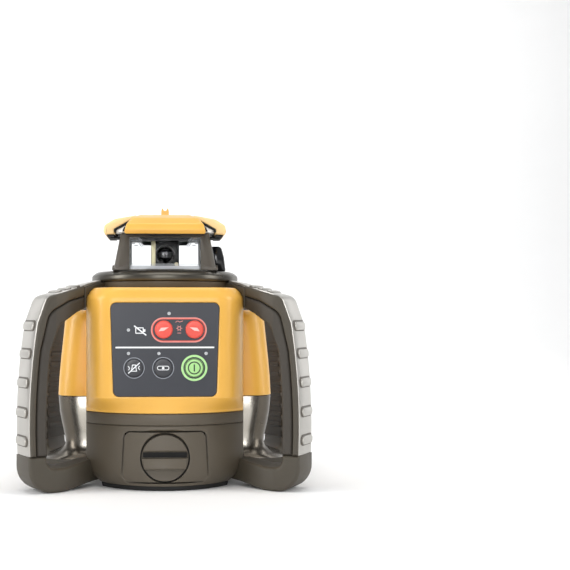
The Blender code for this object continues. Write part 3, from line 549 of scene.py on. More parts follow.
def make_case():
    sections = [(67.1, 0.992, 0.989), (67.5, 0.998, 0.997), (68.3, 1.0, 1.0)]
    sections += [(69.0 + 12.0 * step / 10, 1.0, 1.0, eased(step / 10)) for step in range(11)]
    sections += [(124.0, 1.0, 1.0, 1.0), (164.0, 1.0, 1.0, 1.0), (166.3, 0.999, 0.9995, 1.0),
                 (167.6, 0.995, 0.997, 1.0), (168.8, 0.988, 0.992, 1.0),
                 (170.2, 0.976, 0.986, 1.0), (173.4, 0.949, 0.974, 1.0),
                 (175.6, 0.913, 0.958, 1.0), (176.2, 0.903, 0.952, 1.0),
                 (176.4, 0.897, 0.948, 1.0)]
    levels = [(79.3, 97.4, 33.8), (79.8, 97.7, 34.0), (95.0, 96.9, 34.0), (112.0, 95.4, 34.0),
              (130.0, 93.5, 34.0), (146.0, 91.8, 33.8), (150.0, 91.1, 33.2), (153.0, 90.0, 32.2),
              (155.2, 88.4, 30.6), (156.5, 86.4, 28.4), (157.0, 84.0, 26.0)]
    pocket = plate(panel_outline(0.3), ((-95.0, -1.0), (-86.75, -1.0), (-85.9, 0.0), (-84.2, 0.0)))
    room = ((62.0, 1.0, 1.0), (164.0, 1.0, 1.0), (172.0, 0.94, 0.96))
    add("case_shell", barrel_loft(sections), "yellow_shell", replaces=["main_case"], steps=[
        (JOIN, column(-1, levels)),
        (JOIN, column(1, levels)),
        (CUT, pocket),
        (CUT, barrel_loft(room, -3.0)),
        (CUT, drum(50, 150, 190)),
        (CUT, box(-38, 38, -92, -60, 94, 157)),
    ])


def make_rear():
    """Blank rating plate and four screws; the rear is a guess."""
    levels = ((104.0, 1.0, 1.0), (142.0, 1.0, 1.0))
    sheet = plate(rectangle(-30.0, 30.0, 104.5, 141.5, 4.0), ((70.0, 0.0), (95.0, 0.0)))
    add("rating_plate", barrel_loft(levels, 0.3), "print_grey", steps=[
        (CUT, barrel_loft(((90.0, 1.0, 1.0), (150.0, 1.0, 1.0)), -0.6)), (TRIM, sheet)])
    head = [(0, 84.5), (3.1, 84.5), (3.1, 86.1), (2.7, 86.5), (0, 86.5)]
    heads = []
    sockets = []
    for angle in (math.radians(150), math.radians(210)):
        turn = Matrix.Rotation(angle, 4, "Z")
        for z in (86.0, 155.0):
            heads.append(moved(facing_front(lathe(head, 32), z=z), turn))
            sockets.append(moved(facing_front(drum(1.4, 85.6, 88.0, 6), z=z), turn))
    add("case_screws", joined(*heads), "steel_dark", steps=[(CUT, joined(*sockets))])


def make_side_covers():
    """Metallic lower halves of the columns, which flare out over the feet."""
    levels = [(22.6, 109.0, 40.0), (23.0, 109.4, 40.3), (24.2, 107.0, 39.0), (26.0, 102.0, 36.5),
              (28.5, 97.0, 34.0), (32.0, 93.0, 32.0), (36.0, 91.4, 31.0), (41.0, 91.9, 30.6),
              (47.0, 93.4, 31.2), (55.0, 95.0, 32.4), (65.0, 96.6, 33.4), (78.4, 97.7, 33.9),
              (79.0, 97.4, 33.6)]
    for name, side in (("left", -1), ("right", 1)):
        inner_room = box(*sorted((side * 60, side * 71.2)), -50, 50, 10, 90)
        add(f"side_cover_shell_{name}", column(side, levels, 20.0), "silver_cover",
            replaces=[f"side_cover_{name}"], steps=[(CUT, inner_room)])


def door_outline(grow):
    return inset(rounded([(-37.9, 7.0, 0.8), (37.9, 7.0, 0.8), (35.4, 51.5, 6.0),
                          (-35.4, 51.5, 6.0)]), -grow)


HOUSING = [(4.0, 0.812, 0.963), (4.6, 0.822, 0.9665), (6.5, 0.852, 0.972), (8.5, 0.880, 0.978),
           (12.0, 0.918, 0.985), (15.5, 0.949, 0.990), (20.0, 0.978, 0.9955),
           (26.0, 0.998, 0.9995), (32.0, 1.0, 1.0), (55.2, 1.0, 1.0), (55.9, 0.997, 0.996),
           (56.4, 0.990, 0.988)]


def make_lower_body():
    mouth = plate(door_outline(0.7), ((-95.0, -1.5), (-85.6, -1.5), (-84.0, 0.0), (-74.0, 0.0)))
    add("housing_shell", barrel_loft(HOUSING), "brown_shell", replaces=["lower_housing"], steps=[
        (CUT, mouth),
        (CUT, box(-35, 35, -90, 62, 12, 50)),
        (CUT, lathe([(0, 0), (42.3, 0), (42.3, 6.3), (14.3, 6.3), (14.3, 13), (0, 13)])),
    ])
    waist = ((56.7, 0.990, 0.988), (57.2, 0.997, 0.996), (57.9, 1.0, 1.0), (65.6, 1.0, 1.0),
             (66.3, 0.997, 0.996), (66.8, 0.990, 0.988))
    add("waist_shell", barrel_loft(waist), "brown_shell", replaces=["waist_band"])
    for name, low, high in (("seam_low", 56.2, 57.0), ("seam_high", 66.5, 67.4)):
        add(name, barrel_loft(((low, 0.985, 0.985), (high, 0.985, 0.985))), "black_rubber")
    pad = ((0.0, 0.792, 0.948), (0.6, 0.797, 0.952), (3.2, 0.808, 0.961), (3.7, 0.806, 0.959))
    grooves = [tube(radius, radius + 1.6, -1, 0.8) for radius in (47, 52, 57)]
    add("base_pad_ribbed", barrel_loft(pad), "black_rubber", replaces=["base_pad"],
        steps=[(CUT, drum(42.6, -1, 5)), (CUT, joined(*grooves))])


# ================================= battery door =================================
KNOB_Z = 28.7
KNOB_FACE = -84.2
KNOB_RADIUS = 20.3
CELL_Z = 31.0


def make_door():
    pocket = [(0, 100), (22.6, 100), (22.6, 83.9), (21.7, 82.9), (21.7, 78.0), (5.3, 78.0),
              (5.3, 70), (0, 70)]
    door_face = [(z, wide, deep - 0.004) for z, wide, deep in HOUSING]
    add("door_shell", plate(door_outline(-0.7), [(-95.0, 0.0), (-74.3, 0.0)]), "brown_shell",
        "battery_holder", replaces=["battery_door"], bevel=0.35, steps=[
            (TRIM, barrel_loft(door_face)),
            (CUT, facing_front(lathe(pocket), z=KNOB_Z)),
        ])
    add("knob_pocket_shade", facing_front(tube(20.6, 21.6, 77.9, 78.6), z=KNOB_Z),
        "black_rubber", "battery_holder")


def make_knob():
    """Quarter-turn knob: a bar across a dished face, with a deep slot above the bar."""
    radius = KNOB_RADIUS
    profile = [(0, 70.6), (4.0, 70.6), (4.0, 73.4), (5.0, 73.4), (5.0, 78.4), (radius - 0.4, 78.4),
               (radius, 78.9), (radius, -KNOB_FACE - 0.9), (radius - 0.3, -KNOB_FACE - 0.3),
               (radius - 1.0, -KNOB_FACE), (0, -KNOB_FACE)]
    slot = ((-90.0, 28.2), (-79.2, 28.4), (-79.2, 33.6), (-83.4, 34.4), (-84.2, 35.4),
            (-90.0, 35.8))
    dish = ((-90.0, 6.5), (-84.3, 9.5), (-81.2, 16.0), (-80.6, 19.2), (-90.0, 19.2))
    bar = ((-80.0, 19.2), (-86.3, 19.3), (-87.0, 20.3), (-85.9, 27.4), (-85.3, 28.3),
           (-80.0, 28.6))
    rim = drum(radius - 0.25, 60, 90, 120)
    add("knob_shell", facing_front(lathe(profile, 120), z=KNOB_Z), "brown_shell", "lock_knob",
        replaces=["lock_knob"], bevel=0.4, steps=[
            (CUT, sideways(slot, -25, 25)),
            (CUT, sideways(dish, -25, 25)),
            (JOIN, sideways(bar, -18.2, 18.2)),
            (TRIM, facing_front(rim, z=KNOB_Z)),
        ])
    # Black strip on the slot's floor: painted shadow in the slot.
    shade = rectangle(-19.2, 19.2, 28.9, 33.2, 1.0)
    add("knob_slot_painted_shadow", upright(shade, -79.5, -79.0), "black_rubber", "lock_knob")


def make_cells():
    """Four round cells in two rows, each with a metal can and a wrapped jacket."""
    can = [(0, 0), (13.0, 0), (13.4, 0.5), (13.4, 58.9), (5.4, 59.4), (5.0, 61.1), (4.6, 61.5),
           (0, 61.5)]
    jacket = [(13.4, 0.7), (16.0, 0.5), (16.5, 1.1), (16.5, 58.1), (16.0, 58.8), (13.4, 58.8)]
    stripe = [(16.3, 45.0), (16.56, 45.0), (16.56, 57.4), (16.3, 57.4)]
    places = [(x, tail) for x in (-16.7, 16.7) for tail in (-6.5, 55.4)]
    for number, (x, tail) in enumerate(places, 1):
        for name, profile, finish_name, nodes in (
                ("can", can, "steel", [f"battery_cell_{number}"]),
                ("jacket", jacket, "cell_jacket", []),
                ("stripe", stripe, "pale_brass", [])):
            add(f"cell_{name}_{number}", facing_front(lathe(profile, 64), x, CELL_Z, tail),
                finish_name, "battery_holder", replaces=nodes)


# =================================== panel ======================================
PANEL_FACE = -86.3
KEY_FACE = -87.3
KEYS = {                       # name: (x, z, radius, finish)
    "key_up": (-1.2, 140.0, 7.75, "red_key"),
    "key_down": (25.5, 140.0, 7.75, "red_key"),
    "key_vibration": (-26.7, 106.8, 8.0, "black_key"),
    "key_mode": (-1.6, 106.8, 8.3, "black_key"),
    "key_power": (25.2, 106.8, 8.2, "green_key"),
}
LIGHTS = ((3.5, 153.8), (-31.5, 139.6), (-31.5, 119.3), (-5.3, 119.3), (35.4, 119.3))


def print_on(name, finish_name, *shapes, body="body"):
    add(name, joined(*shapes), finish_name, body)


def make_panel():
    near, far = PANEL_FACE - 0.08, PANEL_FACE + 0.1
    holes = [facing_front(drum(radius + 0.3, 80, 90), x, z) for x, z, radius, _ in KEYS.values()]
    holes += [facing_front(drum(1.4, 80, 90, 24), x, z) for x, z in LIGHTS]
    face = ((-84.5, 0.0), (PANEL_FACE + 0.4, 0.0), (PANEL_FACE, 0.4))
    add("panel_sheet", plate(panel_outline(), face), "panel_film", replaces=["control_panel"],
        steps=[(CUT, joined(*holes))])
    bar = rectangle(-42.7, 42.5, 123.8, 125.2, 0.5)
    print_on("print_bar", "print_white", upright(bar, near, far))
    stadium = rectangle(-12.2, 36.0, 128.8, 150.4, 10.6, 12)
    print_on("print_stadium", "print_red", band(stadium, 0.9, near, far))
    print_on("print_stadium_fill", "red_key", band(inset(stadium, 0.9), 0.7, near + 0.02, far))
    lamps = [disc(x, z, 1.3, near, far, 0.05, 24) for x, z in LIGHTS]
    print_on("lamp_faces", "print_white", *lamps)
    make_icons(near, far)
    make_keys()


def make_icons(near, far):
    battery = rectangle(-25.6, -18.4, 136.4, 141.8, 0.6)
    print_on("icon_battery", "print_white",
             band(battery, 0.8, near, far),
             upright(rectangle(-18.4, -16.9, 138.0, 140.2, 0.3), near, far),
             stroke([(-26.6, 143.2), (-16.2, 135.0)], 1.1, near - 0.02, far))
    x, z = 12.2, 141.0
    spokes = [stroke([(x + 1.5 * math.cos(a), z + 1.5 * math.sin(a)),
                      (x + 2.6 * math.cos(a), z + 2.6 * math.sin(a))], 0.5, near, far)
              for a in (math.pi / 3 * step for step in range(6))]
    print_on("icon_slope", "print_red", hoop(x, z, 1.6, 0.5, near, far), *spokes,
             stroke([(9.0, 146.2), (10.8, 147.4), (12.6, 146.4), (15.4, 147.4)], 0.5, near, far),
             stroke([(10.6, 136.9), (13.8, 136.9)], 0.5, near, far))
    for name, finish_name, radius, width, segments in (
            ("vibration", "print_grey", 9.1, 0.6, 64), ("mode", "print_grey", 9.4, 0.6, 64),
            ("power", "print_green", 11.3, 1.9, 72)):
        x, z = KEYS[f"key_{name}"][:2]
        print_on(f"ring_{name}", finish_name, hoop(x, z, radius, width, near, far, segments))


def key_shape(x, z, radius):
    """Round key with a softly domed face and a flange behind the panel."""
    top = -KEY_FACE
    profile = [(0, 80.6), (3.0, 80.6), (3.0, 83.2), (radius + 0.9, 83.2), (radius + 0.9, 84.2),
               (radius, 84.2), (radius, top - 0.9), (radius - 0.2, top - 0.5),
               (radius - 0.7, top - 0.2), (radius - 1.6, top - 0.08), (radius * 0.5, top - 0.02),
               (0, top)]
    return facing_front(lathe(profile, 72), x, z)


def make_keys():
    for name, (x, z, radius, finish_name) in KEYS.items():
        add(f"{name}_cap", key_shape(x, z, radius), finish_name, name, replaces=[name])
    near, far = KEY_FACE - 0.06, KEY_FACE + 0.3
    arrow = ((-4.4, -1.6), (0.2, -1.0), (4.4, 1.9), (-2.2, 1.5))
    for name, side in (("key_up", 1), ("key_down", -1)):
        x, z = KEYS[name][:2]
        print_on(f"{name}_arrow", "print_pink",
                 upright([(x + side * across, z + up) for across, up in arrow], near, far),
                 body=name)
    x, z = KEYS["key_vibration"][:2]
    cup = [(x - 2.6, z - 3.0), (x + 2.6, z - 3.0), (x + 1.6, z + 3.0), (x - 1.6, z + 3.0)]
    print_on("key_vibration_icon", "print_white", band(cup, 0.7, near, far),
             stroke([(x - 5.0, z - 4.6), (x + 5.0, z + 4.6)], 0.9, near - 0.02, far),
             stroke([(x - 5.0, z + 1.6), (x - 3.6, z - 0.2), (x - 4.8, z - 1.8)], 0.7, near, far),
             stroke([(x + 5.0, z - 1.6), (x + 3.6, z + 0.2), (x + 4.8, z + 1.8)], 0.7, near, far),
             body="key_vibration")
    x, z = KEYS["key_mode"][:2]
    vial = rectangle(x - 5.2, x + 5.2, z - 1.9, z + 1.9, 1.8)
    print_on("key_mode_icon", "print_white", band(vial, 0.6, near, far),
             disc(x, z, 1.1, near, far, 0.05), body="key_mode")
    x, z = KEYS["key_power"][:2]
    print_on("key_power_icon", "print_dark", hoop(x, z, 5.6, 1.0, near, far),
             upright(rectangle(x - 0.55, x + 0.55, z - 3.1, z + 3.1, 0.4), near, far),
             hoop(x, z, 8.0, 0.5, near + 0.2, far), body="key_power")


# =================================== handles ====================================
HANDLE_ANGLE = math.radians(25)
HANDLE_SIDES = (               # (distance, rear side, front side) from the arm's axis
    (60.0, -14.0, 5.0),
    (70.0, -9.0, 11.5),
    (80.0, -3.5, 19.5),
    (90.0, 0.5, 27.0),
    (100.0, 3.0, 32.5),
    (110.0, 4.2, 37.5),
    (122.0, 4.2, 42.0),
)
HANDLE_WIDTH = 38.0
LONGEST_STEP = 4.0
POST_THICKNESS = 16.6
SEAM = 90.0
FOOT_SEAM = 31.4
RIB_HEIGHT = 1.5
SKIN_FRONT = 0.5               # the skin lies this deep inside the outer line
MIDDLE_DEPTH = 6.6             # of the seam between the two mouldings of a grip
SKIN_BACK = 3.0
SKIN_CROWN = 1.4
FRAME_FRONT = 1.7
POST_REACH = 146.6             # farthest distance of a post's outer face, at its middle
POST_MIDDLE = 55.0
POST_CURVE = 1134.0            # twice the radius of the post's bow
POST_TOP = 146.0
POST_FOOT = 50.0
ARM_BEND = 84.0                # distance at which the arm's top starts to fall
ARM_TOP = 181.8                # height of its top there
ARM_FALL = 0.2624              # how much the arm drops for each millimetre outwards
ALONG = Vector((math.cos(HANDLE_ANGLE), -math.sin(HANDLE_ANGLE)))
FORWARD = Vector((-math.sin(HANDLE_ANGLE), -math.cos(HANDLE_ANGLE)))


def post_reach(z):
    """Distance of a post's outer face along the arm at a height."""
    return POST_REACH - (z - POST_MIDDLE) ** 2 / POST_CURVE


def post_slope(z):
    """Angle above the horizontal that a post's outer face looks at."""
    return math.atan((z - POST_MIDDLE) / (POST_CURVE / 2))


def post_line(depth, top=POST_TOP):
    """Line down a post, a depth inside its outer face."""
    count = 16
    heights = [top + (POST_FOOT - top) * step / count for step in range(count + 1)]
    line = [(post_reach(z) - depth, z) for z in heights]
    return line + [(post_reach(POST_FOOT) - 0.5 - depth, FOOT_SEAM + 0.3)]


def outer_line():
    """Outer edge of a handle, from the ring down to the foot, as (distance, z)."""
    corner = rounded([(50.0, 60.0, 0), (50.0, 188.0, 0), (ARM_BEND, ARM_TOP, 24.0),
                      (130.5, 169.6, 10.5), (post_reach(POST_TOP), POST_TOP, 0)], 8)
    return refined([point for point in corner if point[1] > POST_TOP + 1] + post_line(0.0))


def refined(line):
    """A line with points added so that no step of it is long."""
    result = [line[0]]
    for start, end in zip(line, line[1:]):
        count = max(1, math.ceil(math.dist(start, end) / LONGEST_STEP))
        for step in range(1, count + 1):
            share = step / count
            result.append((start[0] + (end[0] - start[0]) * share,
                           start[1] + (end[1] - start[1]) * share))
    return result


def inset_line(line, depth):
    """A line moved inwards by a depth, away from the outer side."""
    result = []
    for index, (reach, z) in enumerate(line):
        last = Vector(line[max(index - 1, 0)])
        after = Vector(line[min(index + 1, len(line) - 1)])
        along = (after - last).normalized()
        result.append((reach + along.y * depth, z - along.x * depth))
    result[-1] = (result[-1][0], line[-1][1])
    return result


def beyond_seam(line):
    """The part of a line past the shoulder seam, with a point on the seam."""
    for (reach_a, z_a), (reach_b, z_b) in zip(line, line[1:]):
        if reach_a <= SEAM + 0.3 <= reach_b:
            share = (SEAM + 0.3 - reach_a) / (reach_b - reach_a)
            start = (SEAM + 0.3, z_a + (z_b - z_a) * share)
    return [start] + [point for point in line if point[0] > SEAM + 1 or point[1] < 141]


def at_handle(reach, z, share):
    """Place on the front right handle; share -1 is its rear side and +1 its front side."""
    rear, front = HANDLE_SIDES[-1][1:]
    for nearer, farther in zip(HANDLE_SIDES, HANDLE_SIDES[1:]):
        if reach <= farther[0]:
            part = max(0.0, (reach - nearer[0]) / (farther[0] - nearer[0]))
            rear = nearer[1] + (farther[1] - nearer[1]) * part
            front = nearer[2] + (farther[2] - nearer[2]) * part
            break
    spot = ALONG * reach + FORWARD * ((rear + front) / 2 + share * (front - rear) / 2)
    return (spot.x, spot.y, z)


def in_place(shape):
    """Bends a flat (distance, share, z) shape to the plan of a handle.

    Its faces are split first wherever the plan turns, so that they stay flat."""
    verts, faces = shape
    work = bmesh.new()
    corners = [work.verts.new(point) for point in verts]
    for face in faces:
        work.faces.new([corners[index] for index in face])
    for distance, _, _ in HANDLE_SIDES:
        everything = work.verts[:] + work.edges[:] + work.faces[:]
        bmesh.ops.bisect_plane(work, geom=everything, dist=0.0001,
                               plane_co=(distance, 0, 0), plane_no=(1, 0, 0))
    work.verts.index_update()
    result = ([at_handle(vert.co.x, vert.co.z, vert.co.y) for vert in work.verts],
              [[vert.index for vert in face.verts] for face in work.faces])
    work.free()
    return result


def slab(outline, radius, widest=1.0):
    """(distance, z) outline given the handle's width, with rounded edges."""
    half = HANDLE_WIDTH / 2
    steps = 5
    stations = []
    for step in range(steps + 1):
        angle = math.pi / 2 * step / steps
        share = widest - radius / half * (1 - math.cos(angle))
        stations.append((share, radius * (1 - math.sin(angle))))
    stations = [(-share, depth) for share, depth in stations] + list(reversed(stations))
    return in_place(loft([[(reach, share, z) for reach, z in inset(outline, depth)]
                          for share, depth in stations]))


def skin_shape():
    """Crowned silver skin, a little short of the front side of its grip."""
    rings = []
    for share in (-1.0, -0.97, -0.9, -0.75, -0.5, -0.2, 0.1, 0.35, 0.55, 0.7, 0.79, 0.84, 0.86):
        crown = SKIN_CROWN * max(abs(share) - 0.1, 0.0) ** 3
        edge = 0.7 if share in (-1.0, 0.86) else 0.0
        line = inset_line(outer_line(), SKIN_FRONT + crown + edge)
        rings.append([(reach, share, z) for reach, z in
                      line + list(reversed(inset_line(outer_line(), SKIN_BACK)))])
    return in_place(loft(rings))


def on_line(shape, reach, z, slope):
    """Places a shape made flat, with X across the handle, Y along it and Z outwards.

    The slope is the angle of the outward direction above the horizontal."""
    out = ALONG * math.cos(slope)
    outward = Vector((out.x, out.y, math.sin(slope)))
    across = Vector((FORWARD.x, FORWARD.y, 0.0))
    matrix = Matrix((across, outward.cross(across), outward)).transposed().to_4x4()
    origin = Vector(at_handle(reach, z, 0.0))
    return moved(shape, Matrix.Translation(origin) @ matrix)


def pill(length, width, height, radius):
    """Low rounded bar, on the plane z = 0."""
    outline = rectangle(-length / 2, length / 2, -width / 2, width / 2, radius, 6)
    levels = ((-2.0, 0.0), (height * 0.45, 0.0), (height * 0.75, height * 0.15),
              (height * 0.93, height * 0.45), (height, height * 1.0))
    return loft([[(x, y, z) for x, y in inset(outline, depth)] for z, depth in levels])


POST_RIBS = (143.0, 119.0, 94.0, 68.5, 44.0)
ARM_RIBS = (98.0, 107.0, 116.0)
ARM_SLOPE = math.radians(75.3)


def down_post(shape, heights, depth=SKIN_FRONT):
    """Copies of a flat shape at heights on a post, a depth inside its outer face."""
    return joined(*[on_line(shape, post_reach(z) - depth, z, post_slope(z)) for z in heights])


def along_arm(shape):
    """Copies of a flat shape on the skin on top of an arm."""
    spots = [(reach, ARM_TOP - (reach - ARM_BEND) * ARM_FALL - SKIN_FRONT) for reach in ARM_RIBS]
    return joined(*[on_line(shape, reach, z, ARM_SLOPE) for reach, z in spots])


def ribs():
    """Ribs on a grip skin: five down the post and three on the arm."""
    bar = moved(pill(25.5, 7.4, RIB_HEIGHT, 3.5), Matrix.Translation((-2.4, 0, 0)))
    return joined(down_post(bar, POST_RIBS), along_arm(pill(24.0, 5.0, 1.2, 2.2)))


def rib_shadows():
    """Dark pills a little larger than the ribs and set off to one side: painted shadow of the
    recesses that the ribs stand in.
    """
    base = moved(pill(29.0, 9.8, 0.25, 4.6), Matrix.Translation((-1.2, -0.3, 0)))
    return joined(down_post(base, POST_RIBS), along_arm(pill(25.4, 6.2, 0.2, 2.8)))


def finger_ridges():
    ridge = moved(pill(33.0, 4.6, 1.2, 2.1), Matrix.Rotation(math.pi, 4, "Y"))
    return down_post(ridge, [124.0 - step * 10.0 for step in range(9)], POST_THICKNESS)


def middle_line():
    """Seam between the two mouldings of a grip."""
    corner = rounded([(SEAM + 0.3, 169.5, 0), (108.0, 165.0, 20.0), (128.0, 155.0, 15.0),
                      (post_reach(122.0) - MIDDLE_DEPTH, 122.0, 0), (100.0, 100.0, 0)], 8)[:-1]
    return refined(corner + post_line(MIDDLE_DEPTH, 118.0))


def inner_line():
    """Inner edge of a grip, from the shoulder seam down to the foot seam."""
    corner = rounded([(SEAM + 0.3, 158.5, 0), (100.5, 154.0, 20.0), (118.0, 143.5, 14.0),
                      (post_reach(122.0) - POST_THICKNESS, 122.0, 0), (100.0, 100.0, 0)], 8)[:-1]
    return refined(corner + post_line(POST_THICKNESS, 118.0))


def refined_loop(outline):
    return refined(outline + outline[:1])[:-1]


def foot_outline():
    top = post_reach(POST_FOOT) - 0.5
    inner = post_reach(POST_FOOT) - POST_THICKNESS
    corners = [(top, FOOT_SEAM, 0), (inner, FOOT_SEAM, 0), (inner, 20.5, 8.0), (112.0, 20.5, 8.0),
               (84.0, 24.5, 0), (55.0, 25.0, 0), (55.0, 5.5, 0), (86.0, 4.2, 6.0),
               (112.0, 0.0, 8.0), (top, 0.0, 21.0)]
    return refined_loop(rounded(corners, 10))


def make_handles():
    seam_line = middle_line()
    frame_outline = beyond_seam(inset_line(outer_line(), FRAME_FRONT)) + seam_line[::-1]
    pad_outline = inset_line(seam_line, 0.7) + inner_line()[::-1]
    dots = along_arm(lathe([(0, 0.5), (1.0, 0.5), (1.0, 1.26), (0, 1.26)], 20, x=9.6))
    parts = (                  # name, shape, finish, replaced CAD node, what is cut away
        ("skin", skin_shape(), "silver_skin", "grip_skin", drum(68.2, 150, 200)),
        ("skin_ribs", ribs(), "silver_skin", None, None),
        # Painted shadow round the ribs.
        ("skin_rib_shadows", rib_shadows(), "dark_frame", None, None),
        ("skin_dots", dots, "gloss_black", None, None),
        ("grip_frame", slab(frame_outline, 1.8), "brown_core", "grip_core", None),
        ("grip_pad", joined(slab(pad_outline, 2.6, 0.97), finger_ridges()), "grip_rubber",
         None, None),
        ("foot_shell", slab(foot_outline(), 3.4), "brown_core", "foot",
         barrel_loft([(-1.0, 0.81, 0.962)] + HOUSING, 0.5)),
    )
    for corner, across in CORNERS.items():
        for name, shape, finish_name, node, space in parts:
            add(f"{name}_{corner}", mirrored(shape, *across), finish_name,
                replaces=[f"{node}_{corner}"] if node else [],
                steps=[(CUT, space)] if space else [])


def height_on(line, reach):
    for (reach_a, z_a), (reach_b, z_b) in zip(line, line[1:]):
        if reach_a <= reach <= reach_b:
            return z_a + (z_b - z_a) * (reach - reach_a) / (reach_b - reach_a)
    return line[0][1]


def make_neck():
    """Dark ring under the silver one, with the shoulders that the grips join."""
    top = inset_line(outer_line(), SKIN_BACK + 0.3)
    stub_line = [(48.0, height_on(top, 55.0)), (55.0, height_on(top, 55.0)),
                 (74.0, height_on(top, 74.0)), (SEAM, height_on(top, SEAM)), (SEAM, 158.8),
                 (76.0, 161.5), (48.0, 168.0)]
    stub = slab(refined_loop(stub_line), 1.6)
    case_space = [(150.0, 1.0, 1.0, 1.0), (166.5, 1.0, 1.0, 1.0), (169.7, 0.985, 0.99, 1.0),
                  (173.7, 0.95, 0.975, 1.0), (176.6, 0.90, 0.95, 1.0)]
    for corner, across in CORNERS.items():
        add(f"shoulder_{corner}", mirrored(stub, *across), "brown_core", steps=[
            (CUT, barrel_loft(case_space, 0.4)), (CUT, drum(68.2, 182.2, 200))])
    collar = lathe([(46.0, 176.7), (62.6, 176.7), (63.6, 177.1), (64.0, 178.0), (64.0, 182.4),
                    (46.0, 182.4)], 128)
    add("neck_collar", collar, "brown_shell", replaces=["neck_frame"])
    ring = lathe([(46.0, 182.7), (66.2, 182.7), (67.3, 183.3), (67.8, 184.6), (67.8, 187.2),
                  (67.5, 188.2), (66.8, 189.0), (64.3, 191.0), (62.6, 191.8), (60.6, 192.2),
                  (59.2, 192.2), (58.8, 191.7), (58.0, 191.7), (57.6, 192.3), (46.0, 192.3)], 144)
    add("ring_shell", ring, "silver_ring", replaces=["top_ring"])


# ===================================== head =====================================
HEAD_LOW = 192.6
HEAD_HIGH = 226.3
HEAD_HALF = 47.0               # half width at the bottom
HEAD_TAPER = 6.6               # how much the half width shrinks on the way up
QUARTERS = [Matrix.Rotation(quarter * math.pi / 2, 4, "Z") for quarter in range(4)]


def square(half, corner, steps=6):
    return rounded([(-half, -half, corner), (half, -half, corner),
                    (half, half, corner), (-half, half, corner)], steps)


def square_loft(levels):
    """Solid through rounded squares from (z, half width, corner radius) levels."""
    return loft([[(x, y, z) for x, y in square(half, corner)] for z, half, corner in levels])


def head_half(z, depth):
    """Half width of the tapered head at a height, moved in by a depth."""
    return HEAD_HALF - HEAD_TAPER * (z - HEAD_LOW) / (HEAD_HIGH - HEAD_LOW) - depth


def tapered(low, high, depth, corner):
    return square_loft([(z, head_half(z, depth), corner) for z in (low, high)])


def square_ring(z, depth, corner):
    return [(x, y, z) for x, y in square(head_half(z, depth), corner)]


def all_round(*shapes):
    """Shapes of the head's front side, repeated on all four sides."""
    return joined(*[moved(joined(*shapes), turn) for turn in QUARTERS])


def make_head_frame():
    body = square_loft([(HEAD_LOW, HEAD_HALF, 7.0), (194.9, 46.9, 7.0), (195.5, 45.9, 6.5),
                        (225.6, head_half(225.6, 0.3), 6.5),
                        (HEAD_HIGH, head_half(HEAD_HIGH, 0.8), 6.2)])
    opening = loft([[(-half, y, low), (half, y, low), (half, y, 222.6), (-half, y, 222.6)]
                    for y, half, low in ((-60.0, 32.6, 193.2), (-46.0, 32.2, 193.6),
                                         (-30.0, 31.8, 193.8))])
    windows = [(CUT, moved(opening, turn)) for turn in QUARTERS]
    add("lighthouse_shell", body, "dark_frame", replaces=["lighthouse_frame"],
        steps=[(CUT, tapered(190, 230, 4.0, 4.0))] + windows, bevel=0.35)
    make_head_details()
    liner = loft([square_ring(193.0, 4.08, 4.0), square_ring(226.0, 4.08, 4.0),
                  square_ring(226.0, 4.24, 3.9), square_ring(193.0, 4.24, 3.9)], looped=True)
    add("window_liner", liner, "liner_white", steps=windows)
    add("glass_tube", square_loft([(HEAD_LOW + 0.4, head_half(193.0, 4.3), 4.0),
                                   (HEAD_HIGH - 1, head_half(225.3, 4.3), 4.0)]),
        "window_glass", replaces=["lighthouse_glass"], steps=[(CUT, tapered(190, 230, 5.3, 3.4))])


def make_head_details():
    """Rims, hatch marks and hoods of the four windows, and the pillars' gussets."""
    glass = -head_half(195.5, 4.1)
    hatches = []
    gussets = []
    for side in (-1, 1):
        for x, low, high in ((30.6, 221.4, 222.1), (27.9, 219.4, 220.0)):
            hatches.append(box(side * x - 1.8, side * x + 1.8, -38.2, -37.6, low, high))
        for x in (25.4, 23.6):
            slant = ((x - 0.4, 222.4), (x + 0.4, 222.4),
                     (x + 0.4 - 2.6, 218.6), (x - 0.4 - 2.6, 218.6))
            hatches.append(upright([(side * place, z) for place, z in slant], -38.2, -37.6))
        gusset = ((31.9, 193.0), (46.0, 193.0), (40.5, 195.2), (33.4, 197.6), (31.9, 196.6))
        gussets.append(upright([(side * x, z) for x, z in gusset], -47.6, -44.8))
    hood = ((-20.5, 219.6), (20.5, 219.6), (23.5, 222.9), (-23.5, 222.9))
    add("window_rims", all_round(box(-31.5, 31.5, glass, glass + 0.8, 193.9, 197.0),
                                 box(-31.5, 31.5, glass + 0.2, glass + 0.8, 198.0, 198.5)),
        "clear_plastic")
    add("window_hatches", all_round(*hatches), "print_grey")
    add("pillar_gussets", all_round(*gussets), "dark_frame", bevel=0.3)
    add("window_hoods", all_round(upright(hood, -36.4, -34.0)), "rotor_black")


BUMPER_WIDTHS = ((224.0, 36.4), (227.0, 36.2), (233.0, 34.6), (239.8, 30.2), (244.0, 23.6))
BUMPER_EDGE = 2.4


def bumper_half(y, z):
    """Half width of a bumper at a place in its side view."""
    half = BUMPER_WIDTHS[-1][1]
    for (z_a, half_a), (z_b, half_b) in zip(BUMPER_WIDTHS, BUMPER_WIDTHS[1:]):
        if z_a <= z <= z_b:
            half = half_a + (half_b - half_a) * (z - z_a) / (z_b - z_a)
    return min(half, abs(y) - 2.4)


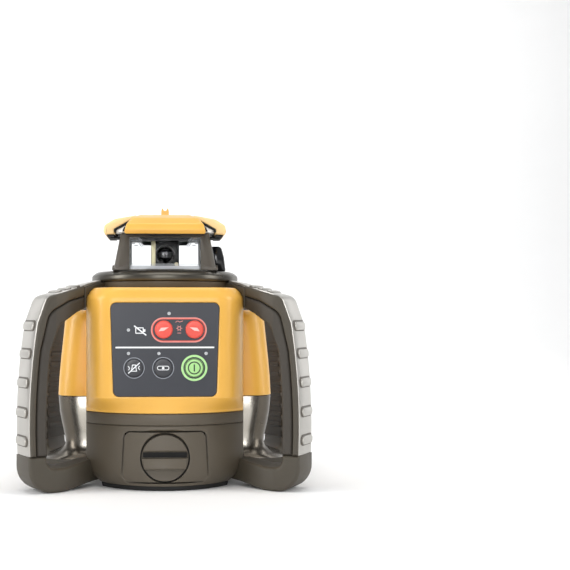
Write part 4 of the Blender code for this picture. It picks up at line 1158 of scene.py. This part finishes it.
def bumper_shape():
    """Front bumper: its side view given width, with rounded edges."""
    outline = rounded([(-45.2, 225.6, 0), (-54.0, 224.8, 1.4), (-55.8, 228.2, 2.2),
                       (-54.6, 234.0, 4.0), (-46.0, 239.8, 8.0), (-27.0, 243.9, 0.4),
                       (-26.0, 243.6, 0), (-26.0, 241.4, 0), (-45.2, 229.6, 0)], 7)
    angles = [math.pi / 2 * step / 5 for step in range(6)]
    stations = [(-1, BUMPER_EDGE * (1 - math.cos(a)), BUMPER_EDGE * (1 - math.sin(a)))
                for a in angles]
    stations += [(1, short, depth) for _, short, depth in reversed(stations)]
    return loft([[(side * (bumper_half(y, z) - short), y, z)
                  for y, z in inset(outline, depth * 0.8)] for side, short, depth in stations])


def make_cap():
    levels = ((226.6, 44.0, 11.6), (227.0, 44.6, 12.0), (228.8, 44.6, 12.0), (229.6, 43.8, 11.8),
              (240.2, 26.0, 8.4), (241.4, 25.0, 8.0), (242.8, 24.8, 8.0), (243.3, 24.2, 7.6))
    add("cap_shell", square_loft(levels), "cap_silver", replaces=["head_cap"])
    shape = bumper_shape()
    # Black strips behind and under each bumper: painted shadow in the gap between the bumper and
    # the head.
    border = [(-25.2, 242.8), (-45.8, 230.4), (-46.2, 227.4), (-44.8, 227.4), (-44.6, 229.4),
              (-25.2, 241.2)]
    slope = loft([[(side * (bumper_half(y, z) + 2.0), y, z) for y, z in border]
                  for side in (-1, 1)])
    shadow_gap = joined(slope, box(-35.0, 35.0, -52.6, -46.2, 224.1, 225.4),
                    box(-13.6, 13.6, -50.0, -41.5, 223.4, 225.2))
    for turn, name, finish_name in zip(QUARTERS, ("front", "right", "rear", "left"),
                                       ("yellow_shell", "pale_yellow") * 2):
        add(f"bumper_shell_{name}", moved(shape, turn), finish_name, replaces=[f"bumper_{name}"])
        add(f"bumper_gasket_{name}", moved(shadow_gap, turn), "black_rubber")
    sight = rounded([(-3.6, 243.7, 0), (3.6, 243.7, 0), (3.6, 248.4, 0.6), (2.6, 252.5, 0.5),
                     (1.2, 249.3, 0.5), (-1.2, 249.3, 0.5), (-2.6, 252.5, 0.5),
                     (-3.6, 248.4, 0.6)], 4)
    levels = ((-9.0, 0.4), (-8.6, 0.0), (8.6, 0.0), (9.0, 0.4))
    add("sight_shell", plate(sight, levels), "yellow_shell", replaces=["peep_sight"])


def make_receiver():
    """Small dark receiver on the right side of the head."""
    side = rounded([(47.8, 192.7, 0.4), (56.2, 192.7, 1.6), (54.6, 206.0, 6.0), (52.0, 216.0, 4.0),
                    (43.3, 216.0, 0.4)], 5)
    levels = ((-13.0, 1.0), (-12.6, 0.4), (-11.8, 0.0), (11.8, 0.0), (12.6, 0.4), (13.0, 1.0))
    add("receiver_shell", plate(side, levels), "gloss_black", replaces=["receiver_window"])
    lens = rectangle(-7.5, 7.5, 197.5, 211.5, 5.0)
    face = loft([[(x + 56.0 - (z - 192.7) * 0.16, y, z) for y, z in inset(lens, depth)]
                 for x, depth in ((-1.5, 0.0), (0.1, 0.0), (0.5, 0.8))])
    add("receiver_eye", face, "lens_glass")


# ================================ levelled module ================================
LENS_Z = 208.2


def make_rotor():
    levels = ((196.5, 0.6), (197.1, 0.0), (221.4, 0.0), (222.0, 0.6))
    tower = loft([[(x, y, z) for x, y in inset(square(13.0, 1.6, 4), depth)]
                  for z, depth in levels])
    add("rotor_tower", tower, "rotor_black", "rotor", replaces=["rotor"], steps=[
        (JOIN, drum(10.8, 184.5, 197, 64)),
        (CUT, facing_front(drum(8.9, 9.0, 15.0, 72), z=LENS_Z)),
    ])
    strip = rectangle(-12.6, -8.8, 199.6, 221.0, 0.5)
    add("rotor_strip", plate(strip, ((-12.6, 0.0), (-13.3, 0.0), (-13.5, 0.2))), "pale_brass",
        "rotor")
    screw_places = (-10.6, 10.6)
    screws = [disc(x, 199.4, 1.9, -14.0, -12.6, 0.4, 28) for x in screw_places]
    slots = [stroke([(x - 3, 198.6), (x + 3, 200.2)], 0.6, -15.0, -13.6) for x in screw_places]
    add("rotor_screws", joined(*screws), "pale_brass", "rotor", steps=[(CUT, joined(*slots))])
    bezel = [(7.0, 10.0), (8.7, 10.0), (8.7, 13.6), (8.3, 14.2), (7.6, 14.0), (7.0, 12.8)]
    add("rotor_bezel", facing_front(lathe(bezel, 72), z=LENS_Z), "steel_dark", "rotor")
    lens = [(0, 9.9), (6.9, 9.9), (6.9, 11.4), (6.2, 12.4), (4.6, 13.2), (2.4, 13.7), (0, 13.9)]
    add("rotor_eye", facing_front(lathe(lens, 64), z=LENS_Z), "lens_black", "rotor",
        replaces=["rotor_lens"])
    add("rotor_skirt", tube(13.2, 17.5, 196.9, 195.0, 72), "rotor_black", "rotor")


def finish_cad_nodes():
    """Carried-over CAD nodes get the finish that their record slot names."""
    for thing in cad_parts.values():
        if not thing.hide_render:
            slot_name = thing.data.materials[0].name.split(".")[0]
            thing.data.materials[0] = MATERIALS[slot_name]


# ============================== stage, lights, camera =============================
def make_stage():
    made = surface("backdrop", (246, 246, 245), 0.75, tone=0.004, grain=200.0, depth=0.004)
    section = [(-4.5, 0.0), (1.2, 0.0)]
    section += [(1.2 + 0.8 * math.sin(a), 0.8 - 0.8 * math.cos(a))
                for a in (math.pi / 2 * step / 10 for step in range(1, 11))]
    section += [(2.0, 3.2)]
    verts = [(x, y, z - 0.0002) for x in (-6.0, 6.0) for y, z in section]
    count = len(section)
    faces = [[i, i + 1, count + i + 1, count + i] for i in range(count - 1)]
    mesh = bpy.data.meshes.new("backdrop")
    mesh.from_pydata(verts, [], faces)
    floor = bpy.data.objects.new("backdrop", mesh)
    bpy.context.collection.objects.link(floor)
    mesh.materials.append(made.material)
    mesh.shade_smooth()


def area_light(name, place, aim, size, energy, gloss):
    data = bpy.data.lights.new(name, "AREA")
    data.shape = "RECTANGLE"
    data.size, data.size_y = size
    data.energy = energy
    data.specular_factor = gloss
    light = bpy.data.objects.new(name, data)
    light.location = place
    direction = Vector(aim) - Vector(place)
    light.rotation_euler = direction.to_track_quat("-Z", "Y").to_euler()
    bpy.context.collection.objects.link(light)


def make_lights():
    centre = (0.0, 0.0, 0.13)
    lights = (                 # name, place, aim, size, power, share in gloss
        ("top", (0.0, -0.3, 1.5), centre, (1.2, 0.9), 11.0, 0.12),
        ("front", (-0.1, -1.7, 0.6), centre, (1.0, 0.7), 6.0, 0.05),
        ("front_left", (-0.22, -1.35, 0.2), centre, (0.22, 0.9), 2.4, 1.0),
        ("front_right", (0.23, -1.35, 0.2), centre, (0.16, 0.9), 1.3, 1.0),
        ("left", (-1.15, -0.3, 0.5), centre, (0.35, 1.0), 7.5, 0.2),
        ("right", (1.15, -0.3, 0.5), centre, (0.35, 1.0), 5.0, 0.2),
        ("rear_left", (-1.2, 1.15, 0.35), centre, (0.28, 1.2), 1.9, 1.0),
        ("rear_right", (1.2, 1.15, 0.35), centre, (0.28, 1.2), 1.9, 1.0),
        ("back", (0.0, 0.9, 1.3), (0.0, 1.6, 0.3), (1.8, 0.6), 14.0, 0.1),
    )
    for light in lights:
        area_light(*light)


def make_world():
    """Soft pale surroundings, darker towards the front and overhead."""
    world = bpy.data.worlds.new("studio")
    world.use_nodes = True
    tree = world.node_tree
    background = tree.nodes["Background"]
    background.inputs["Color"].default_value = (0.95, 0.96, 1.0, 1.0)
    direction = tree.nodes.new("ShaderNodeTexCoord")
    parts = tree.nodes.new("ShaderNodeSeparateXYZ")
    tree.links.new(direction.outputs["Generated"], parts.inputs["Vector"])
    product = tree.nodes.new("ShaderNodeMath")
    product.operation = "MULTIPLY"
    ranges = (("Y", -0.98, -0.55, 0.3, 0.55), ("Z", 0.3, 0.9, 1.0, 0.45))
    for index, (axis, low, high, at_low, at_high) in enumerate(ranges):
        ramp = tree.nodes.new("ShaderNodeMapRange")
        ramp.interpolation_type = "SMOOTHSTEP"
        for name, number in (("From Min", low), ("From Max", high),
                             ("To Min", at_low), ("To Max", at_high)):
            ramp.inputs[name].default_value = number
        tree.links.new(parts.outputs[axis], ramp.inputs["Value"])
        tree.links.new(ramp.outputs["Result"], product.inputs[index])
    tree.links.new(product.outputs["Value"], background.inputs["Strength"])
    bpy.context.scene.world = world


def make_camera():
    """Level camera 1.1 m in front; part of the framing is shift and part is yaw."""
    data = bpy.data.cameras.new("camera")
    data.sensor_width = 36.0
    data.lens = 74.15
    data.shift_x = 0.105
    data.shift_y = 0.0526
    camera = bpy.data.objects.new("camera", data)
    camera.location = (0.0, -1.1, 0.1525)
    camera.rotation_euler = (math.radians(90), 0.0, math.radians(-2.93))
    bpy.context.collection.objects.link(camera)
    bpy.context.scene.camera = camera


for make in (make_case, make_rear, make_side_covers, make_lower_body, make_door, make_knob,
             make_cells, make_panel, make_handles, make_neck, make_head_frame, make_cap,
             make_receiver, make_rotor, finish_cad_nodes, make_stage, make_lights, make_world,
             make_camera):
    make()
bpy.context.scene.view_settings.view_transform = "Standard"
